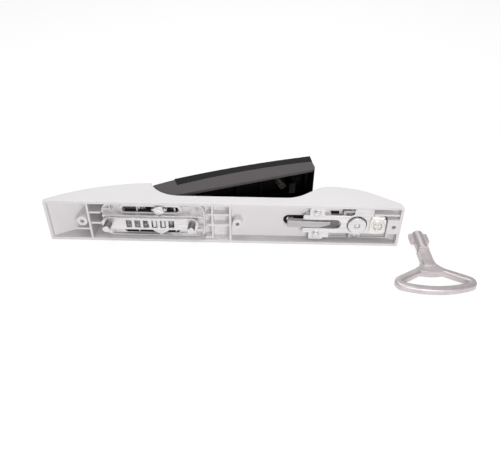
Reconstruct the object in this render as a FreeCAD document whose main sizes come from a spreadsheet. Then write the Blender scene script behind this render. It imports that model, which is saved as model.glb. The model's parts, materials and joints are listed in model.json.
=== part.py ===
"""Swing handle lock for a cabinet door, lying on its long side, lever part open.

Millimetres. +X runs along the housing to the lock insert, +Y out of the door and
+Z across the housing. The origin is on the middle fixing hole, in the back plane.
"""
import FreeCAD
import Part
import math
import os

import Sketcher

ORIGIN = FreeCAD.Vector(0, 0, 0)
ALONG_X = FreeCAD.Vector(1, 0, 0)
ALONG_Y = FreeCAD.Vector(0, 1, 0)
ALONG_Z = FreeCAD.Vector(0, 0, 1)
FLAT = 0.01

SIZES = {
    # Cutters run past what they cut by a margin, or through everything
    "margin": 1.0,
    "through": 60.0,
    # Housing, one moulding that is open at the back
    "half_width": 18.5,
    "wall": 2.2,
    "left_end": -151.4,
    "right_end": 129.1,
    "left_arch_x": -65.0,
    "left_arch_top": 31.0,
    "left_end_height": 3.85,
    "rim_left": -71.8,
    "pocket_right": 81.5,
    "rim_height": 12.3,
    "rim_arc_radius": 27.2,
    "rim_arc_x": -46.0,
    "ramp_angle": 38.0,
    "ramp_foot_radius": 24.0,
    "ramp_crest_radius": 16.0,
    "crest_x": 74.0,
    "right_arch_x": 76.0,
    "right_arch_top": 30.2,
    "slope_start_x": 112.0,
    "slope_start_y": 18.25,
    "slope_end_x": 127.3,
    "slope_end_y": 7.3,
    "nose_height": 3.0,
    "edge_round": 1.2,
    "floor_back": 8.4,
    "floor_thickness": 2.6,
    "hub_window_right": -45.0,
    "rib": 1.8,
    "rib_setback": 1.5,
    "rib_clearance": 0.2,
    "left_rib_x": -117.6,
    "middle_rib_x": -5.8,
    "short_rib_x": -20.0,
    "bay_rib_length": 11.5,
    # Fixing bosses for the door screws
    "fixing_spacing": 123.4,
    "fixing_boss_radius": 4.2,
    "fixing_hole_radius": 1.6,
    "fixing_hole_depth": 7.0,
    "end_block_width": 13.4,
    "end_block_shift": 1.3,
    # Lever, drawn shut and about its pivot, then swung open
    "pivot_x": -62.0,
    "pivot_y": 14.0,
    "rest_swing": 22.0,
    "lever_half_width": 15.9,
    "lever_wall": 2.2,
    "front_arc_x": 69.4,
    "front_arc_y": -680.7,
    "front_arc_radius": 706.3,
    "band_arc_x": 73.6,
    "band_arc_y": -508.8,
    "band_arc_radius": 524.4,
    "heel_radius": 16.4,
    "heel_clearance": 0.8,
    "heel_tip_x": -0.9,
    "heel_tip_y": 18.9,
    "heel_rise": 0.162,
    "heel_top_angle": 110.0,
    "heel_angle": 135.0,
    "heel_room_angle": 141.0,
    "lever_length": 143.0,
    "lever_end_lean": 2.7,
    "lever_end_x": 138.3,
    "lever_end_y": 2.9,
    "lever_corner_radius": 5.2,
    "lever_underside": -2.2,
    "hub_radius": 5.0,
    "cover_start": 17.2,
    "cover_thickness": 2.2,
    "cover_round": 1.2,
    "cover_gap": 0.1,
    "cheek_inside": 12.3,
    "cheek_length": 12.0,
    "lever_rib_near": 40.0,
    "lever_rib_middle": 70.0,
    "lever_rib_far": 92.0,
    "lever_rib_y": 16.0,
    # Pivot
    "pin_radius": 2.5,
    "pin_half_length": 15.4,
    "running_clearance": 0.06,
    # Rack and sector
    "rack_pitch": 6.7,
    "rack_windows": 6.0,
    "sector_full_teeth": 14.0,
    "window_length": 4.4,
    "window_height": 6.8,
    "slider_centre": -68.85,
    "slider_back": -2.3,
    "slider_thickness": 2.0,
    "slider_half_width": 5.3,
    "drive_pin_spacing": 66.0,
    "drive_pin_radius": 2.9,
    "drive_pin_length": 8.0,
    "rivet_shank_radius": 2.2,
    "rivet_radius": 3.6,
    "rivet_height": 1.3,
    "flange_half_length": 29.0,
    "flange_thickness": 1.2,
    "flange_depth": 4.6,
    "lip_height": 1.8,
    "lip_width": 0.8,
    "lip_clearance": 0.15,
    "slide_clearance": 0.1,
    "sector_half_width": 3.0,
    "tooth_tip_radius": 16.1,
    "tooth_root_radius": 13.6,
    "tooth_tip_width": 1.9,
    "tooth_root_width": 4.3,
    "tooth_ease": 0.5,
    # Guide frame
    "frame_left": -108.0,
    "frame_right": -26.0,
    "frame_side_gap": 0.8,
    "frame_corner": 8.0,
    "frame_thickness": 3.4,
    "frame_rim": 1.4,
    "frame_rim_height": 1.2,
    "rail_thickness": 1.3,
    "rail_top": -0.2,
    "sector_window_clearance": 1.0,
    "slot_near": 7.4,
    "slot_far": 12.4,
    "slot_left": -91.4,
    "slot_right": -46.5,
    "slot_bar": 1.2,
    "slot_bar_step": 0.6,
    "slot_bar_left_x": -80.0,
    "slot_bar_right_x": -50.0,
    "boss_half_length": 6.5,
    "boss_half_width": 4.0,
    "boss_rise": 1.8,
    "pillar_near": 7.6,
    "pillar_far": 12.0,
    "pillar_radius": 4.5,
    "frame_screw_left_x": -100.5,
    "frame_screw_right_x": -31.0,
    "frame_screw_z": 11.5,
    # Screws
    "screw_hole_radius": 1.25,
    "flat_head_radius": 2.4,
    "flat_head_height": 1.3,
    "flat_screw_length": 5.8,
    "lock_screw_z": 10.3,
    "lock_screw_head_radius": 4.15,
    "lock_screw_head_height": 2.0,
    "lock_screw_radius": 1.3,
    "driver_slot": 0.9,
    "driver_cross": 0.6,
    "driver_share": 0.55,
    "driver_depth": 0.6,
    "head_chamfer": 0.4,
    # Sector on the lever, and its screws
    "arm_pad_start": 12.0,
    "arm_pad_end": 32.0,
    "arm_pad_y": 13.0,
    "arm_pad_thickness": 4.0,
    "arm_screw_inset": 5.0,
    "arm_screw_bite": 5.0,
    "arm_seat_edge": 1.5,
    "arm_root_inset": 6.0,
    "arm_root_rise": 4.0,
    "sector_hub_half": 7.3,
    "sector_start": 150.0,
    "sector_end": 298.0,
    # Pop-out spring and catch inside the lever
    "spring_x": 109.4,
    "spring_tip": 3.6,
    "spring_radius": 2.6,
    "spring_wire": 0.9,
    "spring_turns": 8.0,
    "spring_stud_radius": 1.7,
    "spring_stud_length": 9.0,
    "spring_seat": 19.0,
    "spring_seat_radius": 4.4,
    "catch_x": 117.0,
    "catch_thickness": 2.0,
    "catch_bottom": -1.2,
    "catch_lip": 4.0,
    "catch_half_width": 5.0,
    "catch_foot_length": 14.0,
    "catch_seat": 15.5,
    "rivet_body_radius": 1.4,
    "rivet_head_radius": 2.5,
    "rivet_first": 5.5,
    "rivet_step": 5.0,
    "rivet_bite": 1.5,
    # Lock plate and latch bolt
    "plate_front": 4.1,
    "plate_thickness": 1.5,
    "plate_left": 52.0,
    "plate_gap_end": 82.0,
    "plate_gap_half": 4.2,
    "plate_edge": 8.4,
    "plate_top": 15.0,
    "plate_rise_left": 92.0,
    "plate_rise_right": 107.0,
    "plate_right": 116.5,
    "plate_corner": 2.0,
    "plate_bulge_radius": 9.8,
    "clamp_bulge_radius": 8.8,
    "plate_hole_radius": 8.0,
    "tab_x": 62.7,
    "tab_z": 10.2,
    "tab_half": 5.8,
    "tab_reach": 15.0,
    "tab_extension": 4.6,
    "tab_screw_length": 6.0,
    "tab_head_radius": 2.7,
    "tab_head_height": 1.3,
    "post_radius": 3.4,
    "bolt_left": 39.5,
    "bolt_bar_half": 2.9,
    "bolt_bar_back": 1.6,
    "bolt_bar_right": 73.5,
    "bolt_base_left": 54.0,
    "bolt_half_width": 6.4,
    "bolt_clearance": 0.2,
    "bolt_travel": 5.0,
    "guide_length": 20.0,
    "guide_clearance": 0.15,
    "tail_start": 76.0,
    "tail_thickness": 2.0,
    "tail_frame": 2.4,
    "bolt_nose_left": 40.5,
    "bolt_nose_length": 4.0,
    "bolt_toe_length": 5.0,
    "bolt_nose_top": 17.0,
    "bolt_toe_thickness": 1.9,
    "bolt_toe_chamfer": 0.8,
    "latch_slot_left": 36.5,
    "latch_slot_right": 56.0,
    "latch_slot_half": 4.3,
    # Lock insert, cam and clamp
    "insert_x": 94.7,
    "insert_radius": 10.7,
    "insert_clearance": 0.1,
    "insert_front": 22.0,
    "insert_seat": 8.4,
    "insert_flange": 1.6,
    "insert_sink": 1.1,
    "insert_floor": 2.4,
    "insert_ear_half": 5.0,
    "ear_clearance": 0.3,
    "insert_screw_z": 13.4,
    "insert_screw_length": 6.0,
    "rotor_radius": 9.0,
    "rotor_clearance": 0.06,
    "rotor_face_setback": 0.4,
    "rotor_lift": 0.1,
    "journal_radius": 3.0,
    "socket_depth": 10.0,
    "socket_radius": 5.1,
    "socket_slot_half": 2.3,
    "socket_slot_reach": 8.3,
    "key_pin_radius": 1.5,
    "rotor_square": 3.4,
    "cam_radius": 7.3,
    "cam_back": 0.9,
    "cam_disc_front": 4.25,
    "cam_eccentric_radius": 6.0,
    "cam_rest_angle": 45.0,
    "yoke_clearance": 0.25,
    "cam_dimple_radius": 2.3,
    "cam_dimple_depth": 1.4,
    "cam_chamfer": 0.5,
    "cam_screw_length": 4.5,
    "cam_screw_height": 1.2,
    "cam_screw_clearance": 0.15,
    "cam_screw_radius": 1.0,
    "clamp_x": 111.0,
    "clamp_half_length": 6.1,
    "clamp_half_width": 6.8,
    "clamp_thickness": 1.5,
    "clamp_corner": 2.0,
    "clamp_ring_radius": 5.2,
    "clamp_ring_height": 0.5,
    "clamp_head_radius": 3.6,
    "clamp_head_clearance": 0.3,
    "clamp_head_height": 0.8,
    "clamp_screw_length": 9.0,
    "clamp_post_radius": 3.6,
    # Ribs beside the mechanism
    "upper_rib_z": 6.6,
    "lower_rib_z": -3.4,
    "end_rib_back": 4.0,
    "end_rib_z": 9.3,
    # Key, lying beside the lock
    "key_x": 146.5,
    "key_tip": 10.0,
    "key_tip_round": 1.6,
    "key_barrel_radius": 4.8,
    "key_bore_radius": 1.7,
    "key_bore_depth": 12.0,
    "key_wing_back": -1.3,
    "key_wing_front": 8.4,
    "key_wing_reach": 7.3,
    "key_wing_half": 1.8,
    "key_step": -11.5,
    "key_shank_half": 4.2,
    "key_shank_low": 0.3,
    "key_shank_thickness": 6.6,
    "key_neck_half": 5.2,
    "key_neck_top": -23.0,
    "key_neck_radius": 10.0,
    "key_neck_reach": 5.0,
    "key_rod": 5.6,
    "key_rod_round": 1.7,
    "key_corner_radius": 6.3,
    "key_left_x": 123.2,
    "key_left_y": -47.6,
    "key_left_slope": 32.0,
    "key_right_x": 170.4,
    "key_right_y": -46.2,
    "key_right_slope": 27.6,
    "key_bow_radius": 73.0,
    "key_bridge_top": -31.0,
    "key_bridge_bottom": -36.3,
    "key_bridge_corner": 1.5,
    "key_pad_half": 9.2,
    "key_pad_y": -36.4,
    "key_pad_radius": 14.0,
    "key_pad_low_radius": 30.0,
    "key_pad_rise": 0.4,
}


class Size:
    """A value together with the cell expression that drives it."""

    def __init__(self, value, text):
        self.value = value
        self.text = text

    def __add__(self, other):
        other = sized(other)
        return Size(self.value + other.value, f"({self.text} + {other.text})")

    def __sub__(self, other):
        other = sized(other)
        return Size(self.value - other.value, f"({self.text} - {other.text})")

    def __mul__(self, other):
        other = sized(other)
        return Size(self.value * other.value, f"({self.text} * {other.text})")

    def __truediv__(self, other):
        other = sized(other)
        return Size(self.value / other.value, f"({self.text} / {other.text})")

    def __neg__(self):
        return sized(0) - self

    def __radd__(self, other):
        return sized(other) + self

    def __rsub__(self, other):
        return sized(other) - self

    def __rmul__(self, other):
        return sized(other) * self

    def __rtruediv__(self, other):
        return sized(other) / self


def sized(number):
    if isinstance(number, Size):
        return number
    text = repr(float(number))
    return Size(float(number), f"({text})" if number < 0 else text)


def root(square):
    return Size(math.sqrt(square.value), f"sqrt({square.text})")


def sine(angle):
    return Size(math.sin(math.radians(angle.value)), f"sin({angle.text})")


def cosine(angle):
    return Size(math.cos(math.radians(angle.value)), f"cos({angle.text})")


def tangent(angle):
    return Size(math.tan(math.radians(angle.value)), f"tan({angle.text})")


def arc_height(centre_x, centre_y, radius, x):
    """Height of an arc's upper half above a place x."""
    return centre_y + root(radius * radius - (x - centre_x) * (x - centre_x))


doc = FreeCAD.newDocument("handle_lock")
sheet = doc.addObject("Spreadsheet::Sheet", "Sizes")
for row, (name, value) in enumerate(SIZES.items(), start=1):
    sheet.set(f"A{row}", name)
    sheet.set(f"B{row}", str(value))
    sheet.setAlias(f"B{row}", name)


class Cells:
    """Each named size as an attribute."""


size = Cells()
for name, value in SIZES.items():
    setattr(size, name, Size(value, f"Sizes.{name}"))


# Construction helpers

def bind(thing, path, value):
    thing.setExpression(path, sized(value).text)


def place(thing, x=0, y=0, z=0):
    thing.Placement.Base = FreeCAD.Vector(sized(x).value, sized(y).value, sized(z).value)
    for letter, value in (("x", x), ("y", y), ("z", z)):
        bind(thing, f"Placement.Base.{letter}", value)
    return thing


def block(label, x0, x1, y0, y1, z0, z1):
    """A box from three pairs of limits."""
    box = doc.addObject("Part::Box", label)
    for prop, low, high in (("Length", x0, x1), ("Width", y0, y1), ("Height", z0, z1)):
        bind(box, prop, sized(high) - sized(low))
    return place(box, x0, y0, z0)


def rod(label, axis, x, y, z, radius, length):
    """A cylinder that starts at a point and runs along +X, +Y or +Z."""
    cylinder = doc.addObject("Part::Cylinder", label)
    bind(cylinder, "Radius", radius)
    bind(cylinder, "Height", length)
    if axis != "Z":
        turn_axis = {"X": ALONG_Y, "Y": -ALONG_X}[axis]
        cylinder.Placement = FreeCAD.Placement(ORIGIN, FreeCAD.Rotation(turn_axis, 90))
    return place(cylinder, x, y, z)


def join(label, *pieces):
    fused = doc.addObject("Part::MultiFuse", label)
    fused.Shapes = list(pieces)
    return fused


def cut(label, base, *tools):
    tool = tools[0] if len(tools) == 1 else join(label + "_tools", *tools)
    result = doc.addObject("Part::Cut", label)
    result.Base = base
    result.Tool = tool
    return result


def common_of(label, first, second):
    result = doc.addObject("Part::Common", label)
    result.Base = first
    result.Tool = second
    return result


def plane_of(body, role):
    return next(item for item in body.Origin.OriginFeatures if item.Role == role)


def point_of(step):
    return FreeCAD.Vector(sized(step[0]).value, sized(step[1]).value, 0)


def arc_between(start, end, radius, side):
    """The shorter arc; side 1 has its centre to the left of start to end."""
    chord = end - start
    middle = (start + end) * 0.5
    across = FreeCAD.Vector(-chord.y, chord.x, 0).normalize()
    rise = math.sqrt(max(radius * radius - chord.Length * chord.Length / 4, 0))
    centre = middle + across * (rise * side)
    first, last = (start, end) if side > 0 else (end, start)
    angles = [math.atan2(p.y - centre.y, p.x - centre.x) for p in (first, last)]
    circle = Part.Circle(centre, ALONG_Z, radius)
    return Part.ArcOfCircle(circle, angles[0], angles[1])


def draw_loop(sketch, steps):
    """A closed outline. A step is (x, y), or (x, y, radius, side) for an arc that ends there."""
    first = sketch.GeometryCount
    count = len(steps)
    ends = []
    for number, step in enumerate(steps):
        before = point_of(steps[number - 1])
        here = point_of(step)
        if len(step) == 2:
            sketch.addGeometry(Part.LineSegment(before, here), False)
            ends.append((1, 2))
        else:
            sketch.addGeometry(arc_between(before, here, sized(step[2]).value, step[3]), False)
            ends.append((1, 2) if step[3] > 0 else (2, 1))
    for number in range(count):
        following = (number + 1) % count
        sketch.addConstraint(Sketcher.Constraint(
            "Coincident", first + number, ends[number][1], first + following, ends[following][0]))
    for number, step in enumerate(steps):
        for kind, value in (("DistanceX", step[0]), ("DistanceY", step[1])):
            held = sketch.addConstraint(Sketcher.Constraint(
                kind, -1, 1, first + number, ends[number][1], sized(value).value))
            bind(sketch, f"Constraints[{held}]", value)
        if len(step) == 4:
            held = sketch.addConstraint(Sketcher.Constraint(
                "Radius", first + number, sized(step[2]).value))
            bind(sketch, f"Constraints[{held}]", step[2])


def draw_circle(sketch, x, y, radius):
    centre = FreeCAD.Vector(sized(x).value, sized(y).value, 0)
    number = sketch.addGeometry(Part.Circle(centre, ALONG_Z, sized(radius).value), False)
    for kind, value in (("DistanceX", x), ("DistanceY", y)):
        held = sketch.addConstraint(Sketcher.Constraint(kind, -1, 1, number, 3, sized(value).value))
        bind(sketch, f"Constraints[{held}]", value)
    held = sketch.addConstraint(Sketcher.Constraint("Radius", number, sized(radius).value))
    bind(sketch, f"Constraints[{held}]", radius)


def sketched(label, role, shift, loops, circles):
    body = doc.addObject("PartDesign::Body", label)
    sketch = body.newObject("Sketcher::SketchObject", label + "_sketch")
    sketch.AttachmentSupport = (plane_of(body, role), [""])
    sketch.MapMode = "FlatFace"
    for letter, value in zip("xyz", shift):
        bind(sketch, f"AttachmentOffset.Base.{letter}", value)
    for loop in loops:
        draw_loop(sketch, loop)
    for circle in circles:
        draw_circle(sketch, *circle)
    return body, sketch


def padded(label, role, shift, length, loops, circles):
    body, sketch = sketched(label, role, shift, loops, circles)
    pad = body.newObject("PartDesign::Pad", label + "_pad")
    pad.Profile = sketch
    pad.Refine = True
    bind(pad, "Length", length)
    body.Tip = pad
    return body


def slab(label, z0, z1, *loops, circles=()):
    """An outline in X and Y, padded from z0 to z1."""
    return padded(label, "XY_Plane", (0, 0, z0), sized(z1) - sized(z0), loops, circles)


def sheet_metal(label, y0, y1, *loops, circles=()):
    """An outline in X and Z, padded from y0 to y1."""
    return padded(label, "XZ_Plane", (0, 0, -sized(y1)), sized(y1) - sized(y0), loops, circles)


def turned(label, axis, x, y, z, profile):
    """A profile of (radius, place) turned about an axis along Y or Z."""
    role, shift = {
        "Y": ("XY_Plane", (x, y, z)),
        "Z": ("XZ_Plane", (x, z, -sized(y))),
    }[axis]
    body, sketch = sketched(label, role, shift, [profile], ())
    spin = body.newObject("PartDesign::Revolution", label + "_turn")
    spin.Profile = sketch
    spin.ReferenceAxis = (sketch, ["V_Axis"])
    spin.Angle = 360
    body.Tip = spin
    return body


def rounded(body, radius, wanted, label):
    """Rounds those edges of a body for which the test holds."""
    doc.recompute()
    solid = body.Tip
    edges = [f"Edge{n}" for n, edge in enumerate(solid.Shape.Edges, start=1) if wanted(edge)]
    fillet = body.newObject("PartDesign::Fillet", label)
    fillet.Base = (solid, edges)
    bind(fillet, "Radius", radius)
    body.Tip = fillet
    return body


def lies_flat(edge):
    """Whether an edge keeps to one height Z."""
    return edge.BoundBox.ZLength < FLAT


def rectangle(x0, x1, y0, y1):
    return [(x1, y0), (x1, y1), (x0, y1), (x0, y0)]


def rounded_rectangle(x0, x1, y0, y1, radius):
    return [
        (x1 - radius, y0), (x1, y0 + radius, radius, 1),
        (x1, y1 - radius), (x1 - radius, y1, radius, 1),
        (x0 + radius, y1), (x0, y1 - radius, radius, 1),
        (x0, y0 + radius), (x0 + radius, y0, radius, 1),
    ]


def round_slot(x0, x1, y0, y1):
    """A slot along X with half-round ends, each in two quarter arcs."""
    radius = (sized(y1) - sized(y0)) / 2
    middle = (sized(y1) + sized(y0)) / 2
    return [
        (x1 - radius, y0), (x1, middle, radius, 1), (x1 - radius, y1, radius, 1),
        (x0 + radius, y1), (x0, middle, radius, 1), (x0 + radius, y0, radius, 1),
    ]


NODES = {}


def node(name, thing):
    """Keeps a finished piece under the name of its file."""
    thing.Label = name
    NODES[name] = thing
    return thing


def on_lever(thing):
    """Swings a piece that was drawn about the pivot to its rest place."""
    turn = FreeCAD.Rotation(ALONG_Z, size.rest_swing.value)
    thing.Placement = FreeCAD.Placement(ORIGIN, turn)
    place(thing, size.pivot_x, size.pivot_y, 0)
    return thing


# Housing

def arch_radius(run, rise):
    """Radius of an arc that falls by a rise over a run from its top."""
    return (run * run + rise * rise) / (rise * 2)


def make_housing():
    left_radius = arch_radius(size.left_arch_x - size.left_end,
                              size.left_arch_top - size.left_end_height)
    left_arch_y = size.left_arch_top - left_radius
    right_radius = arch_radius(size.slope_start_x - size.right_arch_x,
                               size.right_arch_top - size.slope_start_y)
    right_arch_y = size.right_arch_top - right_radius
    shoulder_x = size.rim_left
    shoulder_y = arc_height(size.left_arch_x, left_arch_y, left_radius, shoulder_x)
    crest_y = arc_height(size.right_arch_x, right_arch_y, right_radius, size.crest_x)
    crest_bend_x = size.crest_x - size.ramp_crest_radius * sine(size.ramp_angle)
    crest_bend_y = crest_y - size.ramp_crest_radius * (1 - cosine(size.ramp_angle))
    foot_bend_y = size.rim_height + size.ramp_foot_radius * (1 - cosine(size.ramp_angle))
    foot_bend_x = crest_bend_x - (crest_bend_y - foot_bend_y) / tangent(size.ramp_angle)
    foot_x = foot_bend_x - size.ramp_foot_radius * sine(size.ramp_angle)
    outline = [
        (size.left_end, 0), (size.left_end, size.left_end_height),
        (shoulder_x, shoulder_y, left_radius, -1),
        (size.rim_arc_x, size.rim_height, size.rim_arc_radius, 1),
        (foot_x, size.rim_height),
        (foot_bend_x, foot_bend_y, size.ramp_foot_radius, 1),
        (crest_bend_x, crest_bend_y),
        (size.crest_x, crest_y, size.ramp_crest_radius, -1),
        (size.slope_start_x, size.slope_start_y, right_radius, -1),
        (size.slope_end_x, size.slope_end_y),
        (size.right_end, size.nose_height),
        (size.right_end, 0),
    ]
    outside = slab("housing_outside", -size.half_width, size.half_width, outline)
    rounded(
        outside, size.edge_round,
        lambda edge: lies_flat(edge) and edge.BoundBox.YMax > size.slope_end_y.value / 4,
        "housing_edges")

    inside = size.half_width - size.wall
    left_inner = left_radius - size.wall
    right_inner = right_radius - size.wall
    inner_left_x = size.left_end + size.wall
    inner_left_y = arc_height(size.left_arch_x, left_arch_y, left_inner, inner_left_x)
    well_radius = size.heel_radius + size.heel_clearance
    pocket_wall_radius = well_radius + size.wall
    meet_x = size.pivot_x - pocket_wall_radius
    arch_meet_y = arc_height(size.left_arch_x, left_arch_y, left_inner, meet_x)
    drop = size.pivot_y - size.floor_back
    wall_foot_x = size.pivot_x - root(pocket_wall_radius * pocket_wall_radius - drop * drop)
    well_foot_x = size.pivot_x - root(well_radius * well_radius - drop * drop)
    shoulder_in_x = size.pocket_right + size.wall
    shoulder_in_y = arc_height(size.right_arch_x, right_arch_y, right_inner, shoulder_in_x)
    run = size.slope_end_x - size.slope_start_x
    fall = size.slope_start_y - size.slope_end_y
    slope = root(run * run + fall * fall)
    inner_start_x = size.slope_start_x - size.wall * fall / slope
    inner_start_y = arc_height(size.right_arch_x, right_arch_y, right_inner, inner_start_x)
    inner_end_x = size.right_end - size.wall
    inner_end_y = inner_start_y - (inner_end_x - inner_start_x) * fall / run
    left_cavity = slab("left_cavity", -inside, inside, [
        (inner_left_x, -size.margin), (inner_left_x, inner_left_y),
        (meet_x, arch_meet_y, left_inner, -1),
        (meet_x, size.pivot_y),
        (wall_foot_x, size.floor_back, pocket_wall_radius, 1),
        (wall_foot_x, -size.margin),
    ])
    middle_cavity = slab("middle_cavity", -inside, inside, rectangle(
        wall_foot_x - size.margin, shoulder_in_x + size.margin, -size.margin, size.floor_back))
    right_cavity = slab("right_cavity", -inside, inside, [
        (inner_end_x, -size.margin), (shoulder_in_x, -size.margin), (shoulder_in_x, shoulder_in_y),
        (inner_start_x, inner_start_y, right_inner, -1), (inner_end_x, inner_end_y),
    ])
    floor_front = size.floor_back + size.floor_thickness
    above = size.through
    well_bottom = size.floor_back - size.margin / 2
    pocket = slab("lever_pocket", -inside, inside, [
        (size.pivot_x - well_radius, above), (size.pivot_x - well_radius, size.pivot_y),
        (well_foot_x, size.floor_back, well_radius, 1),
        (well_foot_x, well_bottom),
        (size.hub_window_right, well_bottom), (size.hub_window_right, floor_front),
        (size.pocket_right, floor_front), (size.pocket_right, above),
    ])

    details = make_housing_details(inside)
    hollow = cut("housing_hollow", outside, left_cavity, middle_cavity, right_cavity)
    held = common_of("housing_details_in_shell", details, outside)
    filled = join("housing_filled", hollow, held)
    return node("housing_shell", cut("housing_cut", filled, pocket, *housing_holes()))


def make_housing_details(inside):
    """Ribs, screw bosses and posts, each long enough to run into the front wall."""
    deep = size.through
    half_rib = size.rib / 2
    setback = size.rib_setback
    low_rib_z = -frame_half_width() - size.rib_clearance
    pieces = [
        block("left_rib", size.left_rib_x - half_rib, size.left_rib_x + half_rib,
              0, deep, -inside, inside),
        block("middle_rib", size.middle_rib_x - half_rib, size.middle_rib_x + half_rib,
              0, deep, -inside, inside),
        block("short_rib", size.short_rib_x - half_rib, size.short_rib_x + half_rib,
              setback, deep, low_rib_z, inside),
        block("low_rib", size.frame_right + size.rib_clearance, size.short_rib_x,
              setback, deep, low_rib_z, low_rib_z + size.rib),
        block("bay_rib", size.left_rib_x - size.bay_rib_length, size.left_rib_x,
              setback, deep, -size.slot_near - size.rib, -size.slot_near),
        block("right_floor", size.pocket_right + size.wall / 2, size.right_end - size.wall / 2,
              size.floor_back, size.floor_back + size.floor_thickness,
              -inside, -size.plate_edge + size.rib),
        block("end_rib", size.clamp_x - size.end_rib_back, size.right_end - size.wall / 2,
              setback, deep, size.end_rib_z, size.end_rib_z + size.rib),
    ]
    for number, low in enumerate((size.upper_rib_z, size.lower_rib_z)):
        pieces.append(block(
            f"right_bay_rib_{number}", size.frame_right + size.rib, size.middle_rib_x,
            setback, deep, low, low + size.rib))
        pieces.append(block(
            f"left_bay_rib_{number}", size.left_rib_x, size.frame_left,
            setback, deep, low, low + size.rib))
    for number, x in enumerate((-size.fixing_spacing, sized(0))):
        pieces.append(rod(f"fixing_boss_{number}", "Y", x, 0, 0, size.fixing_boss_radius, deep))
    pieces.append(block(
        "end_block", size.fixing_spacing - size.end_block_width / 2 + size.end_block_shift, size.right_end,
        0, deep, -size.end_block_width / 2, size.end_block_width / 2))
    for number, side in enumerate((-1, 1)):
        z = size.frame_screw_z * side
        pieces.append(rod(
            f"frame_post_{number}", "Y", size.frame_screw_left_x, size.floor_back, z,
            size.post_radius, deep))
        pieces.append(rod(
            f"plate_post_{number}", "Y", size.tab_x, size.plate_front, size.tab_z * side,
            size.post_radius, deep))
        near = size.bolt_half_width + size.guide_clearance
        low, high = (near, near + size.rib) if side > 0 else (-near - size.rib, -near)
        pieces.append(block(
            f"bolt_guide_{number}", size.bolt_base_left, size.bolt_base_left + size.guide_length,
            size.plate_front, deep, low, high))
    pieces.append(rod(
        "clamp_post", "Y", size.clamp_x, size.plate_front, 0, size.clamp_post_radius, deep))
    pieces.append(rod(
        "insert_boss", "Y", size.insert_x, size.insert_seat, 0,
        size.insert_radius + size.wall, deep))
    pieces.append(block(
        "insert_bridge", size.insert_x - size.insert_ear_half, size.insert_x + size.insert_ear_half,
        size.insert_seat, deep, -inside, inside))
    return join("housing_details", *pieces)


def housing_holes():
    reach = size.insert_radius + size.insert_clearance
    holes = [
        sheet_metal("latch_slot", size.floor_back - size.margin,
                    size.floor_back + size.floor_thickness + size.margin,
                    round_slot(size.latch_slot_left, size.latch_slot_right,
                               -size.latch_slot_half, size.latch_slot_half)),
        rod("insert_bore", "Y", size.insert_x, 0, 0, reach, size.through),
    ]
    for number, x in enumerate((-size.fixing_spacing, sized(0), size.fixing_spacing)):
        holes.append(rod(f"fixing_hole_{number}", "Y", x, -size.margin, 0,
                         size.fixing_hole_radius, size.fixing_hole_depth + size.margin))
    for number, side in enumerate((-1, 1)):
        for place_name, x in (("left", size.frame_screw_left_x), ("right", size.frame_screw_right_x)):
            holes.append(rod(
                f"frame_screw_hole_{place_name}_{number}", "Y", x, size.floor_back - size.margin,
                size.frame_screw_z * side, size.screw_hole_radius,
                size.flat_screw_length - size.frame_thickness + size.margin))
        holes.append(rod(
            f"tab_screw_hole_{number}", "Y", size.tab_x, size.plate_front - size.margin,
            size.tab_z * side, size.screw_hole_radius, size.tab_screw_length + size.margin))
        holes.append(rod(
            f"insert_screw_hole_{number}", "Y", size.insert_x, size.insert_seat - size.margin,
            size.insert_screw_z * side, size.screw_hole_radius,
            size.insert_screw_length + size.margin))
    holes.append(rod("clamp_screw_hole", "Y", size.clamp_x, size.plate_front - size.margin, 0,
                     size.screw_hole_radius, size.clamp_screw_length + size.margin))
    return holes


# Guide frame and rack slider

def frame_half_width():
    """The guide frame fills the housing between its long walls, but for a gap at each."""
    return size.half_width - size.wall - size.frame_side_gap


def frame_outline(inset):
    half = frame_half_width() - inset
    return rounded_rectangle(
        size.frame_left + inset, size.frame_right - inset, -half, half, size.frame_corner - inset)


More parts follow.
